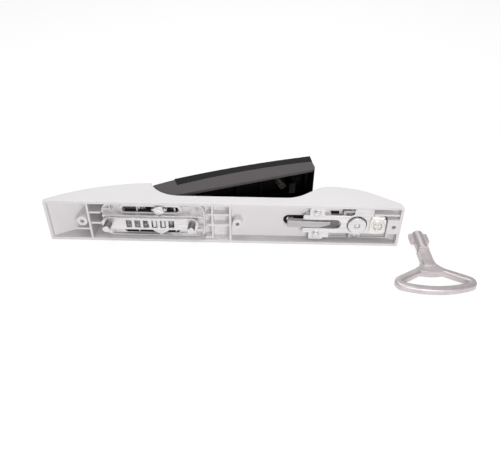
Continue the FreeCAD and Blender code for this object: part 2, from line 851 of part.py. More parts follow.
def make_guide_frame():
    front = size.floor_back
    back = size.floor_back - size.frame_thickness
    opening = size.tooth_tip_radius + size.sector_window_clearance
    half_window = size.sector_half_width + size.sector_window_clearance
    plate = sheet_metal(
        "frame_plate", back, front, frame_outline(sized(0)),
        round_slot(size.slot_left, size.slot_right, size.slot_near, size.slot_far),
        round_slot(size.slot_left, size.slot_right, -size.slot_far, -size.slot_near),
        rectangle(size.pivot_x - opening, size.pivot_x + opening, -half_window, half_window))
    rim = sheet_metal(
        "frame_rim", back - size.frame_rim_height, back,
        frame_outline(sized(0)), frame_outline(size.frame_rim))
    pieces = [plate, rim]
    channel = size.slider_half_width + size.slide_clearance
    middle = (size.slot_near + size.slot_far) / 2
    for number, side in enumerate((-1, 1)):
        low, high = sorted((channel * side, (channel + size.rail_thickness) * side),
                           key=lambda item: item.value)
        rail = block(f"frame_rail_{number}", size.frame_left + size.frame_rim,
                     size.frame_right - size.frame_rim, size.rail_top, back, low, high)
        if side > 0:
            rail = cut("frame_rail_relieved", rail, rod(
                "lock_screw_room", "Y", size.pivot_x, size.rail_top - size.margin,
                size.lock_screw_z, size.lock_screw_head_radius + size.slide_clearance,
                back - size.boss_rise + size.slide_clearance - size.rail_top + size.margin))
        pieces.append(rail)
        slot_low, slot_high = sorted((size.slot_near * side, size.slot_far * side),
                                     key=lambda item: item.value)
        pieces.append(sheet_metal(
            f"slot_rim_{number}", back - size.frame_rim_height / 2, back,
            round_slot(size.slot_left - size.rib / 2, size.slot_right + size.rib / 2,
                       slot_low - size.rib / 3, slot_high + size.rib / 2),
            round_slot(size.slot_left, size.slot_right, slot_low, slot_high)))
        for bar, x in enumerate((size.slot_bar_left_x, size.slot_bar_right_x)):
            pieces.append(block(
                f"slot_bar_{number}_{bar}", x - size.slot_bar / 2, x + size.slot_bar / 2,
                back + size.slot_bar_step, front,
                slot_low - size.slot_bar_step, slot_high + size.slot_bar_step))
        pieces.append(sheet_metal(
            f"frame_boss_{number}", back - size.boss_rise, front, [
                (size.pivot_x - size.boss_half_length, middle * side),
                (size.pivot_x, middle * side - size.boss_half_width),
                (size.pivot_x + size.boss_half_length, middle * side),
                (size.pivot_x, middle * side + size.boss_half_width)]))
        near, far = sorted((size.pillar_near * side, size.pillar_far * side),
                           key=lambda item: item.value)
        pieces.append(slab(f"frame_pillar_{number}", near, far, [
            (size.pivot_x - size.pillar_radius, front - size.margin),
            (size.pivot_x + size.pillar_radius, front - size.margin),
            (size.pivot_x + size.pillar_radius, size.pivot_y),
            (size.pivot_x, size.pivot_y + size.pillar_radius, size.pillar_radius, 1),
            (size.pivot_x - size.pillar_radius, size.pivot_y, size.pillar_radius, 1)]))
    solid = join("frame_solid", *pieces)
    groove = channel + size.lip_width
    groove_top = size.slider_back + size.slider_thickness + size.flange_depth
    tools = [
        block("frame_groove", size.frame_left - size.margin, size.frame_right + size.margin,
              groove_top - size.lip_height - size.lip_clearance, groove_top + size.lip_clearance,
              -groove, groove),
        block("frame_channel", size.frame_left - size.margin, size.frame_right + size.margin,
              size.rail_top - size.margin, groove_top + size.lip_clearance, -channel, channel),
        rod("frame_pin_bore", "Z", size.pivot_x, size.pivot_y, -size.through / 2,
            size.pin_radius, size.through),
        rod("lock_screw_bore", "Y", size.pivot_x, 0, size.lock_screw_z, size.lock_screw_radius,
            size.pivot_y),
    ]
    for number, side in enumerate((-1, 1)):
        for place_name, x in (("left", size.frame_screw_left_x), ("right", size.frame_screw_right_x)):
            z = size.frame_screw_z * side
            tools.append(rod(f"frame_bore_{place_name}_{number}", "Y", x, 0, z,
                             size.screw_hole_radius, size.through))
            tools.append(rod(f"frame_sink_{place_name}_{number}", "Y", x, 0, z,
                             size.flat_head_radius, back + size.flat_head_height))
    node("guide_frame", cut("frame_cut", solid, *tools))
    screws = []
    for number, side in enumerate((-1, 1)):
        for place_name, x in (("left", size.frame_screw_left_x), ("right", size.frame_screw_right_x)):
            screws.append(screw(
                f"frame_screw_{place_name}_{number}", x, back + size.flat_head_height,
                size.frame_screw_z * side, size.flat_head_radius, size.flat_head_height,
                size.screw_hole_radius, size.flat_screw_length - size.flat_head_height))
    node("frame_screws", join("frame_screw_set", *screws))
    node("pivot_pin", rod("pin", "Z", size.pivot_x, size.pivot_y, -size.pin_half_length,
                          size.pin_radius, size.pin_half_length * 2))
    node("pin_lock_screw", screw(
        "lock_screw", size.pivot_x, back - size.boss_rise, size.lock_screw_z,
        size.lock_screw_head_radius,
        size.lock_screw_head_height, size.lock_screw_radius,
        size.pivot_y - size.pin_radius - back + size.boss_rise, slotted=True))


def screw(label, x, seat, z, head_radius, head_height, shank_radius, shank_length, slotted=False):
    """A screw that points along +Y, with its head's underside on the seat."""
    head = -sized(head_height)
    body = turned(label + "_turned", "Y", x, seat, z, [
        (0, head), (head_radius - size.head_chamfer, head),
        (head_radius, head + size.head_chamfer), (head_radius, 0),
        (shank_radius, 0), (shank_radius, shank_length - shank_radius),
        (shank_radius / 2, shank_length), (0, shank_length)])
    outer, bottom = seat - head_height - size.margin, seat - head_height + size.driver_depth
    half = (size.driver_slot if slotted else size.driver_cross) / 2
    reach = head_radius if slotted else head_radius * size.driver_share
    bars = [block(label + "_driver", x - reach, x + reach, outer, bottom, z - half, z + half)]
    if not slotted:
        bars.append(block(label + "_driver_across", x - half, x + half, outer, bottom,
                          z - reach, z + reach))
    return cut(label, body, *bars)


def make_rack_slider():
    half = size.slider_half_width
    front = size.slider_back + size.slider_thickness
    reach = size.drive_pin_spacing / 2
    outline = round_slot(size.slider_centre - reach - half, size.slider_centre + reach + half,
                         -half, half)
    windows = []
    for number in range(int(SIZES["rack_windows"])):
        middle = size.slider_centre + size.rack_pitch * (number + 0.5 - SIZES["rack_windows"] / 2)
        windows.append(rectangle(
            middle - size.window_length / 2, middle + size.window_length / 2,
            -size.window_height / 2, size.window_height / 2))
    pin_holes = [(size.slider_centre - reach, 0, size.rivet_shank_radius),
                 (size.slider_centre + reach, 0, size.rivet_shank_radius)]
    pieces = [sheet_metal("slider_plate", size.slider_back, front, outline, *windows,
                          circles=pin_holes)]
    left = size.slider_centre - size.flange_half_length
    right = size.slider_centre + size.flange_half_length
    for number, side in enumerate((-1, 1)):
        low, high = sorted(((half - size.flange_thickness) * side, half * side),
                           key=lambda item: item.value)
        pieces.append(block(f"slider_flange_{number}", left, right, front,
                            front + size.flange_depth, low, high))
        low, high = sorted((half * side, (half + size.lip_width) * side),
                           key=lambda item: item.value)
        pieces.append(block(f"slider_lip_{number}", left, right,
                            front + size.flange_depth - size.lip_height,
                            front + size.flange_depth, low, high))
    node("rack_slider", join("slider_solid", *pieces))
    pins = []
    for number, side in enumerate((-1, 1)):
        radius = size.drive_pin_radius
        pins.append(turned(
            f"drive_pin_{number}", "Y", size.slider_centre + reach * side, 0, 0, [
                (0, size.slider_back - size.drive_pin_length),
                (radius - size.head_chamfer, size.slider_back - size.drive_pin_length),
                (radius, size.slider_back - size.drive_pin_length + size.head_chamfer),
                (radius, size.slider_back), (size.rivet_shank_radius, size.slider_back),
                (size.rivet_shank_radius, front), (size.rivet_radius, front),
                (size.rivet_radius - size.head_chamfer, front + size.rivet_height),
                (0, front + size.rivet_height)]))
    node("drive_pins", join("drive_pin_pair", *pins))


# Lever, drawn shut, about the pivot

def front_height(inset, x):
    """The lever's domed front, or a surface set in from it."""
    return arc_height(size.front_arc_x, size.front_arc_y, size.front_arc_radius - inset, x)


def band_height(inset, x):
    """The line on the side where the cover meets the lever's skirt."""
    return arc_height(size.band_arc_x, size.band_arc_y, size.band_arc_radius - inset, x)


def heel_height(x):
    """The straight top of the lever between its heel and the cover."""
    return size.heel_tip_y + (x - size.heel_tip_x) * size.heel_rise


def polar(radius, angle):
    return radius * cosine(angle), radius * sine(angle)


def lever_outline():
    start = size.cover_start
    low_end = size.lever_length - size.lever_end_lean
    hub_x = root(size.hub_radius * size.hub_radius - size.lever_underside * size.lever_underside)
    corner = size.lever_corner_radius
    return [
        (size.lever_end_x - corner, size.lever_underside),
        (size.lever_end_x, size.lever_end_y, corner, 1),
        (low_end, band_height(0, low_end)),
        (size.lever_length, front_height(0, size.lever_length)),
        (start, front_height(0, start), size.front_arc_radius, 1),
        (start, heel_height(start)),
        (size.heel_tip_x, size.heel_tip_y),
        polar(size.heel_radius, size.heel_top_angle),
        (*polar(size.heel_radius, size.heel_angle), size.heel_radius, 1),
        (-size.hub_radius, 0),
        (0, -size.hub_radius, size.hub_radius, 1),
        (hub_x, size.lever_underside, size.hub_radius, 1),
    ]


def make_lever_body():
    half = size.lever_half_width
    outside = slab("lever_outside", -half, half, lever_outline())
    far = size.lever_length + size.margin
    start = size.cover_start
    above = size.through
    cover_space = slab("cover_space", -half - size.margin, half + size.margin, [
        (start, band_height(0, start)), (far, band_height(0, far), size.band_arc_radius, -1),
        (far, above), (start, above)])
    shift = size.cover_thickness + size.cover_gap
    core_half = half - shift
    core_end = size.lever_end_x - size.lever_wall
    core_start = size.arm_pad_start - size.lever_wall
    core = slab("lever_core", -core_half, core_half, [
        (core_start, 0), (core_end, 0), (core_end, front_height(shift, core_end)),
        (start, front_height(shift, start), size.front_arc_radius - shift, 1),
        (core_start, heel_height(core_start) - size.cover_gap)])
    outer = join("lever_outer", cut("lever_skirts", outside, cover_space), core)

    wall = size.lever_wall
    roof = shift + wall
    side = half - wall
    cheek_end = size.cheek_length
    inner_end = size.lever_end_x - wall
    below = -size.through / 2
    lower_room = slab("lever_room_low", -side, side, [
        (cheek_end, below), (inner_end, below), (inner_end, band_height(wall, inner_end)),
        (cheek_end, band_height(wall, cheek_end), size.band_arc_radius - wall, 1)])
    narrow = core_half - wall
    upper_end = core_end - wall
    upper_room = slab("lever_room_high", -narrow, narrow, [
        (cheek_end, below), (upper_end, below), (upper_end, front_height(roof, upper_end)),
        (cheek_end, front_height(roof, cheek_end), size.front_arc_radius - roof, 1)])
    heel_room = size.heel_radius - wall
    room_end = cheek_end + size.margin
    hub_room = slab("lever_hub_room", -size.cheek_inside, size.cheek_inside, [
        (below, below), (room_end, below), (room_end, heel_height(room_end) - wall),
        (0, heel_height(0) - wall),
        polar(heel_room, size.heel_top_angle),
        (*polar(heel_room, size.heel_room_angle), heel_room, 1),
        (below, size.pin_radius)])
    bore = rod("lever_bore", "Z", 0, 0, -size.through / 2,
               size.pin_radius + size.running_clearance, size.through)
    hollow = cut("lever_hollow", outer, lower_room, upper_room, hub_room, bore)

    roof_y = size.through
    pad_half = size.sector_half_width + size.arm_seat_edge
    pads = [
        block("arm_seat", size.arm_pad_start, size.arm_pad_end, size.arm_pad_y, roof_y,
              -pad_half, pad_half),
        block("catch_seat_block", size.catch_x + size.catch_thickness,
              size.catch_x + size.catch_thickness + size.catch_foot_length,
              size.catch_seat, roof_y,
              -size.catch_half_width - size.margin, size.catch_half_width + size.margin),
        rod("spring_seat_ring", "Y", size.spring_x, size.spring_seat, 0,
            size.spring_seat_radius, roof_y),
        rod("spring_stud", "Y", size.spring_x, size.spring_seat - size.spring_stud_length, 0,
            size.spring_stud_radius, roof_y),
    ]
    for number, x in enumerate((size.lever_rib_near, size.lever_rib_middle, size.lever_rib_far)):
        pads.append(block(f"lever_rib_{number}", x, x + size.lever_wall,
                          size.lever_rib_y, roof_y, -narrow - size.margin, narrow + size.margin))
    held = common_of("lever_pads_inside", join("lever_pads", *pads), core)
    solid = join("lever_solid", hollow, held)
    holes = []
    for number, x in enumerate(arm_screw_places()):
        holes.append(rod(f"arm_screw_hole_{number}", "Y", x, size.arm_pad_y - size.margin, 0,
                         size.screw_hole_radius, size.arm_screw_bite + size.margin * 1.5))
    for number, x in enumerate(rivet_places()):
        holes.append(rod(f"rivet_hole_{number}", "Y", x, size.catch_seat - size.margin, 0,
                         size.rivet_body_radius, size.margin + size.rivet_bite))
    node("lever_body", on_lever(cut("lever_cut", solid, *holes)))


def arm_screw_places():
    return (size.arm_pad_start + size.arm_screw_inset, size.arm_pad_end - size.arm_screw_inset)


def rivet_places():
    first = size.catch_x + size.rivet_first
    return first, first + size.rivet_step


def make_lever_cover():
    half = size.lever_half_width
    start = size.cover_start
    end = size.lever_length
    low_end = end - size.lever_end_lean
    gap = size.cover_gap
    cap = slab("cover_cap", -half, half, [
        (start + gap, band_height(0, start + gap) + gap),
        (low_end, band_height(0, low_end) + gap, size.band_arc_radius, -1),
        (end, front_height(0, end)),
        (start + gap, front_height(0, start + gap), size.front_arc_radius, 1)])
    rounded(
        cap, size.cover_round,
        lambda edge: lies_flat(edge) and edge.BoundBox.XLength > size.lever_length.value / 2
        and edge.CenterOfMass.y > size.spring_seat.value,
        "cover_edges")
    thick = size.cover_thickness
    inner_end = size.lever_end_x - size.lever_wall + gap
    before = start - size.margin
    room = slab("cover_room", -half + thick, half - thick, [
        (before, 0), (inner_end, 0), (inner_end, front_height(thick, inner_end)),
        (before, front_height(thick, before), size.front_arc_radius - thick, 1)])
    node("lever_cover", on_lever(cut("cover_cut", cap, room)))


def make_gear_sector():
    """Sector teeth that reach through the windows of the rack slider."""
    body, sketch = sketched(
        "sector_disc", "XY_Plane", (0, 0, -size.sector_half_width), [sector_disc_outline()], ())
    disc = body.newObject("PartDesign::Pad", "sector_disc_pad")
    disc.Profile = sketch
    bind(disc, "Length", size.sector_half_width * 2)
    body.Tip = disc
    pitch_radius = size.rack_pitch * size.sector_full_teeth / (2 * math.pi)
    step = 360 / size.sector_full_teeth
    half = size.rack_windows / 2
    last_window = size.slider_centre + size.rack_pitch * (half - 0.5)
    angle = (last_window - size.pivot_x) / pitch_radius * (180 / math.pi) - size.rest_swing
    teeth = []
    for number in range(int(SIZES["rack_windows"])):
        turn = angle - step * number
        teeth.append(gear_tooth(f"sector_tooth_{number}", turn))
    hub = rod("sector_hub", "Z", 0, 0, -size.sector_hub_half, size.hub_radius,
              size.sector_hub_half * 2)
    half_arm = size.sector_half_width
    arm = slab("sector_arm", -half_arm, half_arm, [
        (size.arm_pad_start - size.arm_root_inset, -size.hub_radius / 2),
        (size.arm_pad_start + size.margin, size.arm_pad_y - size.arm_pad_thickness),
        (size.arm_pad_end, size.arm_pad_y - size.arm_pad_thickness),
        (size.arm_pad_end, size.arm_pad_y),
        (size.arm_pad_start, size.arm_pad_y),
        (-size.hub_radius / 2, size.arm_root_rise),
        (0, 0),
    ])
    solid = join("sector_solid", body, hub, arm, *teeth)
    holes = [rod("sector_bore", "Z", 0, 0, -size.through / 2,
                 size.pin_radius + size.running_clearance, size.through)]
    for number, x in enumerate(arm_screw_places()):
        holes.append(rod(f"arm_bore_{number}", "Y", x, 0, 0, size.screw_hole_radius,
                         size.through))
    node("gear_sector", on_lever(cut("sector_cut", solid, *holes)))
    screws = []
    for number, x in enumerate(arm_screw_places()):
        screws.append(screw(
            f"sector_screw_{number}", x, size.arm_pad_y - size.arm_pad_thickness, 0,
            size.flat_head_radius, size.flat_head_height, size.screw_hole_radius,
            size.arm_pad_thickness + size.arm_screw_bite))
    node("sector_screws", on_lever(join("sector_screw_pair", *screws)))


def sector_disc_outline():
    radius = size.tooth_root_radius
    start, end = size.sector_start, size.sector_end
    third = (end - start) / 3
    steps = [(radius * cosine(start), radius * sine(start))]
    for number in (1, 2, 3):
        angle = start + third * number
        steps.append((radius * cosine(angle), radius * sine(angle), radius, 1))
    steps.append((0, 0))
    return steps


def gear_tooth(label, turn):
    """One tooth; its middle line stands at a turn from straight down."""
    tip, base = size.tooth_tip_radius, size.tooth_root_radius - size.margin
    wide, slim = size.tooth_root_width / 2, size.tooth_tip_width / 2
    ease, fall = size.tooth_ease, size.tooth_ease * 1.4
    corners = ((-wide, base), (wide, base), (slim + ease, tip - fall), (slim, tip),
               (-slim, tip), (-slim - ease, tip - fall))
    across, down = cosine(turn), sine(turn)
    points = [(down * r + across * w, across * -r + down * w) for w, r in corners]
    return slab(label, -size.sector_half_width, size.sector_half_width, points)


def make_lever_catch():
    x = size.catch_x
    thick = size.catch_thickness
    bottom = size.catch_bottom
    seat = size.catch_seat
    half = size.catch_half_width
    strip = slab("catch_strip", -half, half, [
        (x - size.catch_lip, bottom), (x + thick, bottom), (x + thick, seat - thick),
        (x + size.catch_foot_length, seat - thick), (x + size.catch_foot_length, seat),
        (x, seat), (x, bottom + thick), (x - size.catch_lip, bottom + thick)])
    holes = [rod(f"catch_hole_{number}", "Y", place_x, 0, 0, size.rivet_body_radius,
                 size.through)
             for number, place_x in enumerate(rivet_places())]
    node("lever_catch", on_lever(cut("catch_cut", strip, *holes)))
    rivets = []
    for number, place_x in enumerate(rivet_places()):
        rivets.append(turned(f"catch_rivet_{number}", "Y", place_x, seat - thick, 0, [
            (0, -size.rivet_height), (size.rivet_head_radius - size.head_chamfer * 1.5,
                                      -size.rivet_height),
            (size.rivet_head_radius, -size.head_chamfer),
            (size.rivet_head_radius, 0), (size.rivet_body_radius, 0),
            (size.rivet_body_radius, thick + size.rivet_bite), (0, thick + size.rivet_bite)]))
    node("catch_rivets", on_lever(join("catch_rivet_pair", *rivets)))


def biarc(start, start_way, end, end_way):
    """Two tangent arcs from one point and direction to another."""
    span = end - start
    ways = start_way + end_way
    spread = 2 * (1 - start_way.dot(end_way))
    lean = span.dot(ways)
    reach = (-lean + math.sqrt(lean * lean + spread * span.dot(span))) / spread
    middle = ((start + start_way * reach) + (end - end_way * reach)) * 0.5
    edges = []
    for first, second, way in ((start, middle, start_way), (end, middle, -end_way)):
        chord = second - first
        along = FreeCAD.Vector(chord).normalize()
        lift = way - along * way.dot(along)
        angle = math.acos(max(-1.0, min(1.0, way.dot(along))))
        top = first + chord * 0.5 + lift.normalize() * (chord.Length / 2 * math.tan(angle / 2))
        ends = (first, top, second) if way is start_way else (second, top, first)
        edges.append(Part.Arc(*ends).toShape())
    return edges


def make_pop_out_spring():
    """One coil of round wire about Y, with a last flat turn on the lever's seat."""
    radius = SIZES["spring_radius"]
    wire = SIZES["spring_wire"]
    turns = SIZES["spring_turns"]
    low = SIZES["spring_tip"] + wire / 2
    rise = SIZES["spring_seat"] - SIZES["spring_tip"] - wire
    quarters = int(turns * 4)

    def station(number):
        angle = number * math.pi / 2
        around = FreeCAD.Vector(math.cos(angle), 0, math.sin(angle))
        way = FreeCAD.Vector(-math.sin(angle) * radius, rise / turns / (2 * math.pi),
                             math.cos(angle) * radius).normalize()
        centre = FreeCAD.Vector(SIZES["spring_x"], low + rise * number / quarters, 0)
        return centre + around * radius, way

    edges = []
    for number in range(quarters):
        edges += biarc(*station(number), *station(number + 1))
    path = Part.Wire(edges)
    first, way = station(0)
    ring = Part.Wire([Part.makeCircle(wire / 2, first, way)])
    coil = doc.addObject("Part::Feature", "pop_out_spring")
    coil.Shape = path.makePipeShell([ring], True, False)
    samples = [edge.valueAt(edge.FirstParameter + (edge.LastParameter - edge.FirstParameter) * part)
               for edge in edges for part in (0.0, 0.25, 0.5, 0.75)]
    apart = len(samples) // quarters * 3
    least = min((one - other).Length for index, one in enumerate(samples)
                for other in samples[index + apart:])
    print(f"pop_out_spring: least gap to itself {least - wire:.2f} mm, turns {turns}")
    node("pop_out_spring", on_lever(coil))


# Lock plate and latch bolt

def make_lock_plate():
    front = size.plate_front
    back = front - size.plate_thickness
    gap = size.plate_gap_half
    edge = size.plate_edge
    left, right = size.plate_left, size.plate_right
    corner = size.plate_corner
    plate = sheet_metal("lock_plate_sheet", back, front, [
        (right - corner, -edge), (right, -edge + corner, corner, 1),
        (right, edge - corner), (right - corner, edge, corner, 1),
        (size.plate_rise_right, edge), (size.plate_rise_right, size.plate_top - corner),
        (size.plate_rise_right - corner, size.plate_top, corner, 1),
        (size.plate_rise_left + corner, size.plate_top),
        (size.plate_rise_left, size.plate_top - corner, corner, 1),
        (size.plate_rise_left, edge + corner),
        (size.plate_rise_left - corner, edge, corner, -1),
        (left + corner, edge), (left, edge - corner, corner, 1),
        (left, gap), (size.plate_gap_end - gap, gap),
        (size.plate_gap_end, 0, gap, -1), (size.plate_gap_end - gap, -gap, gap, -1),
        (left, -gap), (left, -edge + corner), (left + corner, -edge, corner, 1)])
    pieces = [plate]
    for number, side in enumerate((-1, 1)):
        low, high = sorted((size.plate_gap_half * side, size.tab_reach * side),
                           key=lambda item: item.value)
        pieces.append(sheet_metal(f"plate_tab_{number}", back, front, rounded_rectangle(
            size.tab_x - size.tab_half, size.tab_x + size.tab_half, low, high, corner)))
    pieces.append(block(
        "plate_extension", size.tab_x, size.tab_x + size.tab_half + size.tab_extension,
        back, front, -size.tab_reach + corner, -edge + size.margin))
    for number, (x, bulge) in enumerate(((size.insert_x, size.plate_bulge_radius),
                                         (size.clamp_x - size.margin, size.clamp_bulge_radius))):
        pieces.append(rod(f"plate_bulge_{number}", "Y", x, back, 0, bulge,
                          size.plate_thickness))
    solid = join("lock_plate_solid", *pieces)
    holes = [rod("cam_hole", "Y", size.insert_x, 0, 0, size.plate_hole_radius, size.through),
             rod("clamp_hole", "Y", size.clamp_x, 0, 0, size.screw_hole_radius, size.through),
             block("plate_trim", right, right + size.through, 0, size.through,
                   -size.half_width, size.half_width),
             sheet_metal("plate_gap_clear", 0, size.through, round_slot(
                 left - size.plate_gap_end, size.plate_gap_end, -gap, gap))]
    for number, side in enumerate((-1, 1)):
        holes.append(rod(f"tab_hole_{number}", "Y", size.tab_x, 0, size.tab_z * side,
                         size.screw_hole_radius, size.through))
    node("lock_plate", cut("lock_plate_cut", solid, *holes))
    screws = [screw(f"tab_screw_{number}", size.tab_x, back, size.tab_z * side,
                    size.tab_head_radius, size.tab_head_height, size.screw_hole_radius,
                    size.plate_thickness + size.tab_screw_length)
              for number, side in enumerate((-1, 1))]
    node("lock_plate_screws", join("tab_screw_pair", *screws))
    pad_back = back - size.clamp_thickness
    pad = sheet_metal("clamp_sheet", pad_back, back, rounded_rectangle(
        size.clamp_x - size.clamp_half_length, size.clamp_x + size.clamp_half_length,
        -size.clamp_half_width, size.clamp_half_width, size.clamp_corner))
    ring = rod("clamp_ring", "Y", size.clamp_x, pad_back - size.clamp_ring_height, 0,
               size.clamp_ring_radius, size.clamp_ring_height + size.clamp_thickness / 2)
    well = rod("clamp_well", "Y", size.clamp_x, 0, 0, size.clamp_head_radius,
               pad_back + size.clamp_ring_height)
    bore = rod("clamp_bore", "Y", size.clamp_x, 0, 0, size.screw_hole_radius, size.through)
    node("clamp_plate", cut("clamp_cut", join("clamp_solid", pad, ring), well, bore))
    node("clamp_screw", screw(
        "clamp_bolt", size.clamp_x, pad_back + size.clamp_ring_height, 0,
        size.clamp_head_radius - size.clamp_head_clearance, size.clamp_head_height,
        size.screw_hole_radius,
        back - pad_back - size.clamp_ring_height + size.plate_thickness + size.clamp_screw_length))


def cam_throw():
    """The eccentric swings as far past the middle as it stands before it at rest."""
    return size.bolt_travel / (sine(size.cam_rest_angle) * 2)


def yoke_centre():
    turn = size.cam_rest_angle
    return size.insert_x - cam_throw() * sine(turn), cam_throw() * cosine(turn)


def make_latch_bolt():
    base_back = size.plate_front + size.bolt_clearance
    base_front = size.floor_back - size.bolt_clearance
    bar = block("bolt_bar", size.bolt_left, size.bolt_bar_right, size.bolt_bar_back, base_back,
                -size.bolt_bar_half, size.bolt_bar_half)
    bar_front = block("bolt_bar_front", size.bolt_left, size.bolt_base_left + size.margin,
                      base_back, base_back + size.tail_thickness,
                      -size.bolt_bar_half, size.bolt_bar_half)
    base = block("bolt_base", size.bolt_base_left, size.tail_start, base_back, base_front,
                 -size.bolt_half_width, size.bolt_half_width)
    centre_x, centre_z = yoke_centre()
    reach = size.cam_eccentric_radius + size.yoke_clearance
    frame = size.tail_frame
    top = cam_throw() + reach
    bottom = centre_z - reach
    neck = block("bolt_neck", size.tail_start - size.margin, centre_x - reach - frame / 2,
                 base_back, base_back + size.tail_thickness,
                 -size.bolt_bar_half * 2, size.bolt_bar_half * 2)
    tail = sheet_metal(
        "bolt_yoke", base_back, base_back + size.tail_thickness,
        rounded_rectangle(centre_x - reach - frame, centre_x + reach + frame,
                          bottom - frame, top + frame, size.plate_corner),
        rectangle(centre_x - reach, centre_x + reach, bottom, top))
    left = size.bolt_nose_left
    right = left + size.bolt_nose_length
    toe = right + size.bolt_toe_length
    nose_top = size.bolt_nose_top
    nose = slab("bolt_nose", -size.bolt_bar_half, size.bolt_bar_half, [
        (left, base_back), (right, base_back), (right, nose_top - size.bolt_toe_thickness),
        (toe, nose_top - size.bolt_toe_thickness), (toe, nose_top - size.bolt_toe_chamfer),
        (toe - size.bolt_toe_chamfer * 2, nose_top), (left, nose_top)])
    node("latch_bolt", join("bolt_solid", bar, bar_front, base, neck, tail, nose))


# Lock insert

def make_insert():
    seat = size.insert_seat
    flange_back = seat - size.insert_flange
    floor = flange_back + size.insert_floor
    cup = rod("insert_cup", "Y", size.insert_x, seat, 0, size.insert_radius,
              size.insert_front - seat)
    flange = join(
        "insert_flange",
        rod("insert_disc", "Y", size.insert_x, flange_back, 0,
            size.insert_radius + size.wall - size.ear_clearance, size.insert_flange),
        block("insert_ears", size.insert_x - size.insert_ear_half,
              size.insert_x + size.insert_ear_half, flange_back, seat,
              -size.half_width + size.wall + size.ear_clearance,
              size.half_width - size.wall - size.ear_clearance))
    bore_radius = size.rotor_radius + size.rotor_clearance
    holes = [rod("insert_well", "Y", size.insert_x, floor, 0, bore_radius, size.through),
             rod("insert_journal_bore", "Y", size.insert_x, 0, 0,
                 size.journal_radius + size.rotor_clearance, size.through)]
    screws = []
    for number, side in enumerate((-1, 1)):
        z = size.insert_screw_z * side
        holes.append(rod(f"insert_ear_bore_{number}", "Y", size.insert_x, 0, z,
                         size.screw_hole_radius, size.through))
        holes.append(rod(f"insert_ear_sink_{number}", "Y", size.insert_x, 0, z,
                         size.flat_head_radius, flange_back + size.insert_sink))
        screws.append(screw(f"insert_screw_{number}", size.insert_x,
                            flange_back + size.insert_sink, z,
                            size.flat_head_radius, size.insert_sink, size.screw_hole_radius,
                            size.insert_flange - size.insert_sink + size.insert_screw_length))
    node("insert_housing", cut("insert_cut", join("insert_solid", cup, flange), *holes))
    node("insert_screws", join("insert_screw_pair", *screws))

    face = size.insert_front - size.rotor_face_setback
    lift = size.rotor_lift
    square = size.rotor_square / 2
    cam_back = size.cam_back
    cam_floor = cam_back + size.cam_dimple_depth
    rotor = rod("rotor_body", "Y", size.insert_x, floor + lift, 0, size.rotor_radius,
                face - floor - lift)
    eccentric_front = size.plate_front + size.bolt_clearance + size.tail_thickness
    journal_back = eccentric_front + lift
    journal = rod("rotor_journal", "Y", size.insert_x, journal_back, 0, size.journal_radius,
                  floor + size.margin - journal_back)
    tang = block("rotor_tang", size.insert_x - square, size.insert_x + square,
                 cam_floor, journal_back + size.margin, -square, square)
    socket_floor = face - size.socket_depth
    socket = sheet_metal("rotor_socket_slot", socket_floor, face + size.margin, rectangle(
        size.insert_x - size.socket_slot_reach, size.insert_x + size.socket_slot_reach,
        -size.socket_slot_half, size.socket_slot_half))
    well = rod("rotor_socket_well", "Y", size.insert_x, socket_floor, 0, size.socket_radius,
               size.through)
    pin = rod("rotor_key_pin", "Y", size.insert_x, socket_floor - size.margin, 0,
              size.key_pin_radius, size.socket_depth)
    screw_bore = rod("rotor_screw_bore", "Y", size.insert_x, 0, 0, size.cam_screw_radius,
                     cam_floor + size.cam_screw_length)
    hollow = cut("rotor_hollow", join("rotor_solid", rotor, journal, tang), socket, well,
                 screw_bore)
    node("key_rotor", join("rotor_done", hollow, pin))

    disc = turned("cam_disc_turned", "Y", size.insert_x, 0, 0, [
        (0, cam_back), (size.cam_radius - size.cam_chamfer, cam_back),
        (size.cam_radius, cam_back + size.cam_chamfer),
        (size.cam_radius, size.cam_disc_front), (0, size.cam_disc_front)])
    centre_x, centre_z = yoke_centre()
    eccentric = rod("cam_eccentric", "Y", centre_x, size.cam_disc_front, centre_z,
                    size.cam_eccentric_radius, eccentric_front - size.cam_disc_front)
    hole = block("cam_square", size.insert_x - square, size.insert_x + square,
                 cam_floor, size.through, -square, square)
    dimple = rod("cam_dimple", "Y", size.insert_x, 0, 0, size.cam_dimple_radius, cam_floor)
    node("lock_cam", cut("cam_cut", join("cam_solid", disc, eccentric), hole, dimple))
    node("cam_screw", screw("cam_bolt", size.insert_x, cam_floor, 0,
                            size.cam_dimple_radius - size.cam_screw_clearance,
                            size.cam_screw_height, size.cam_screw_radius,
                            size.cam_screw_length))


# Key

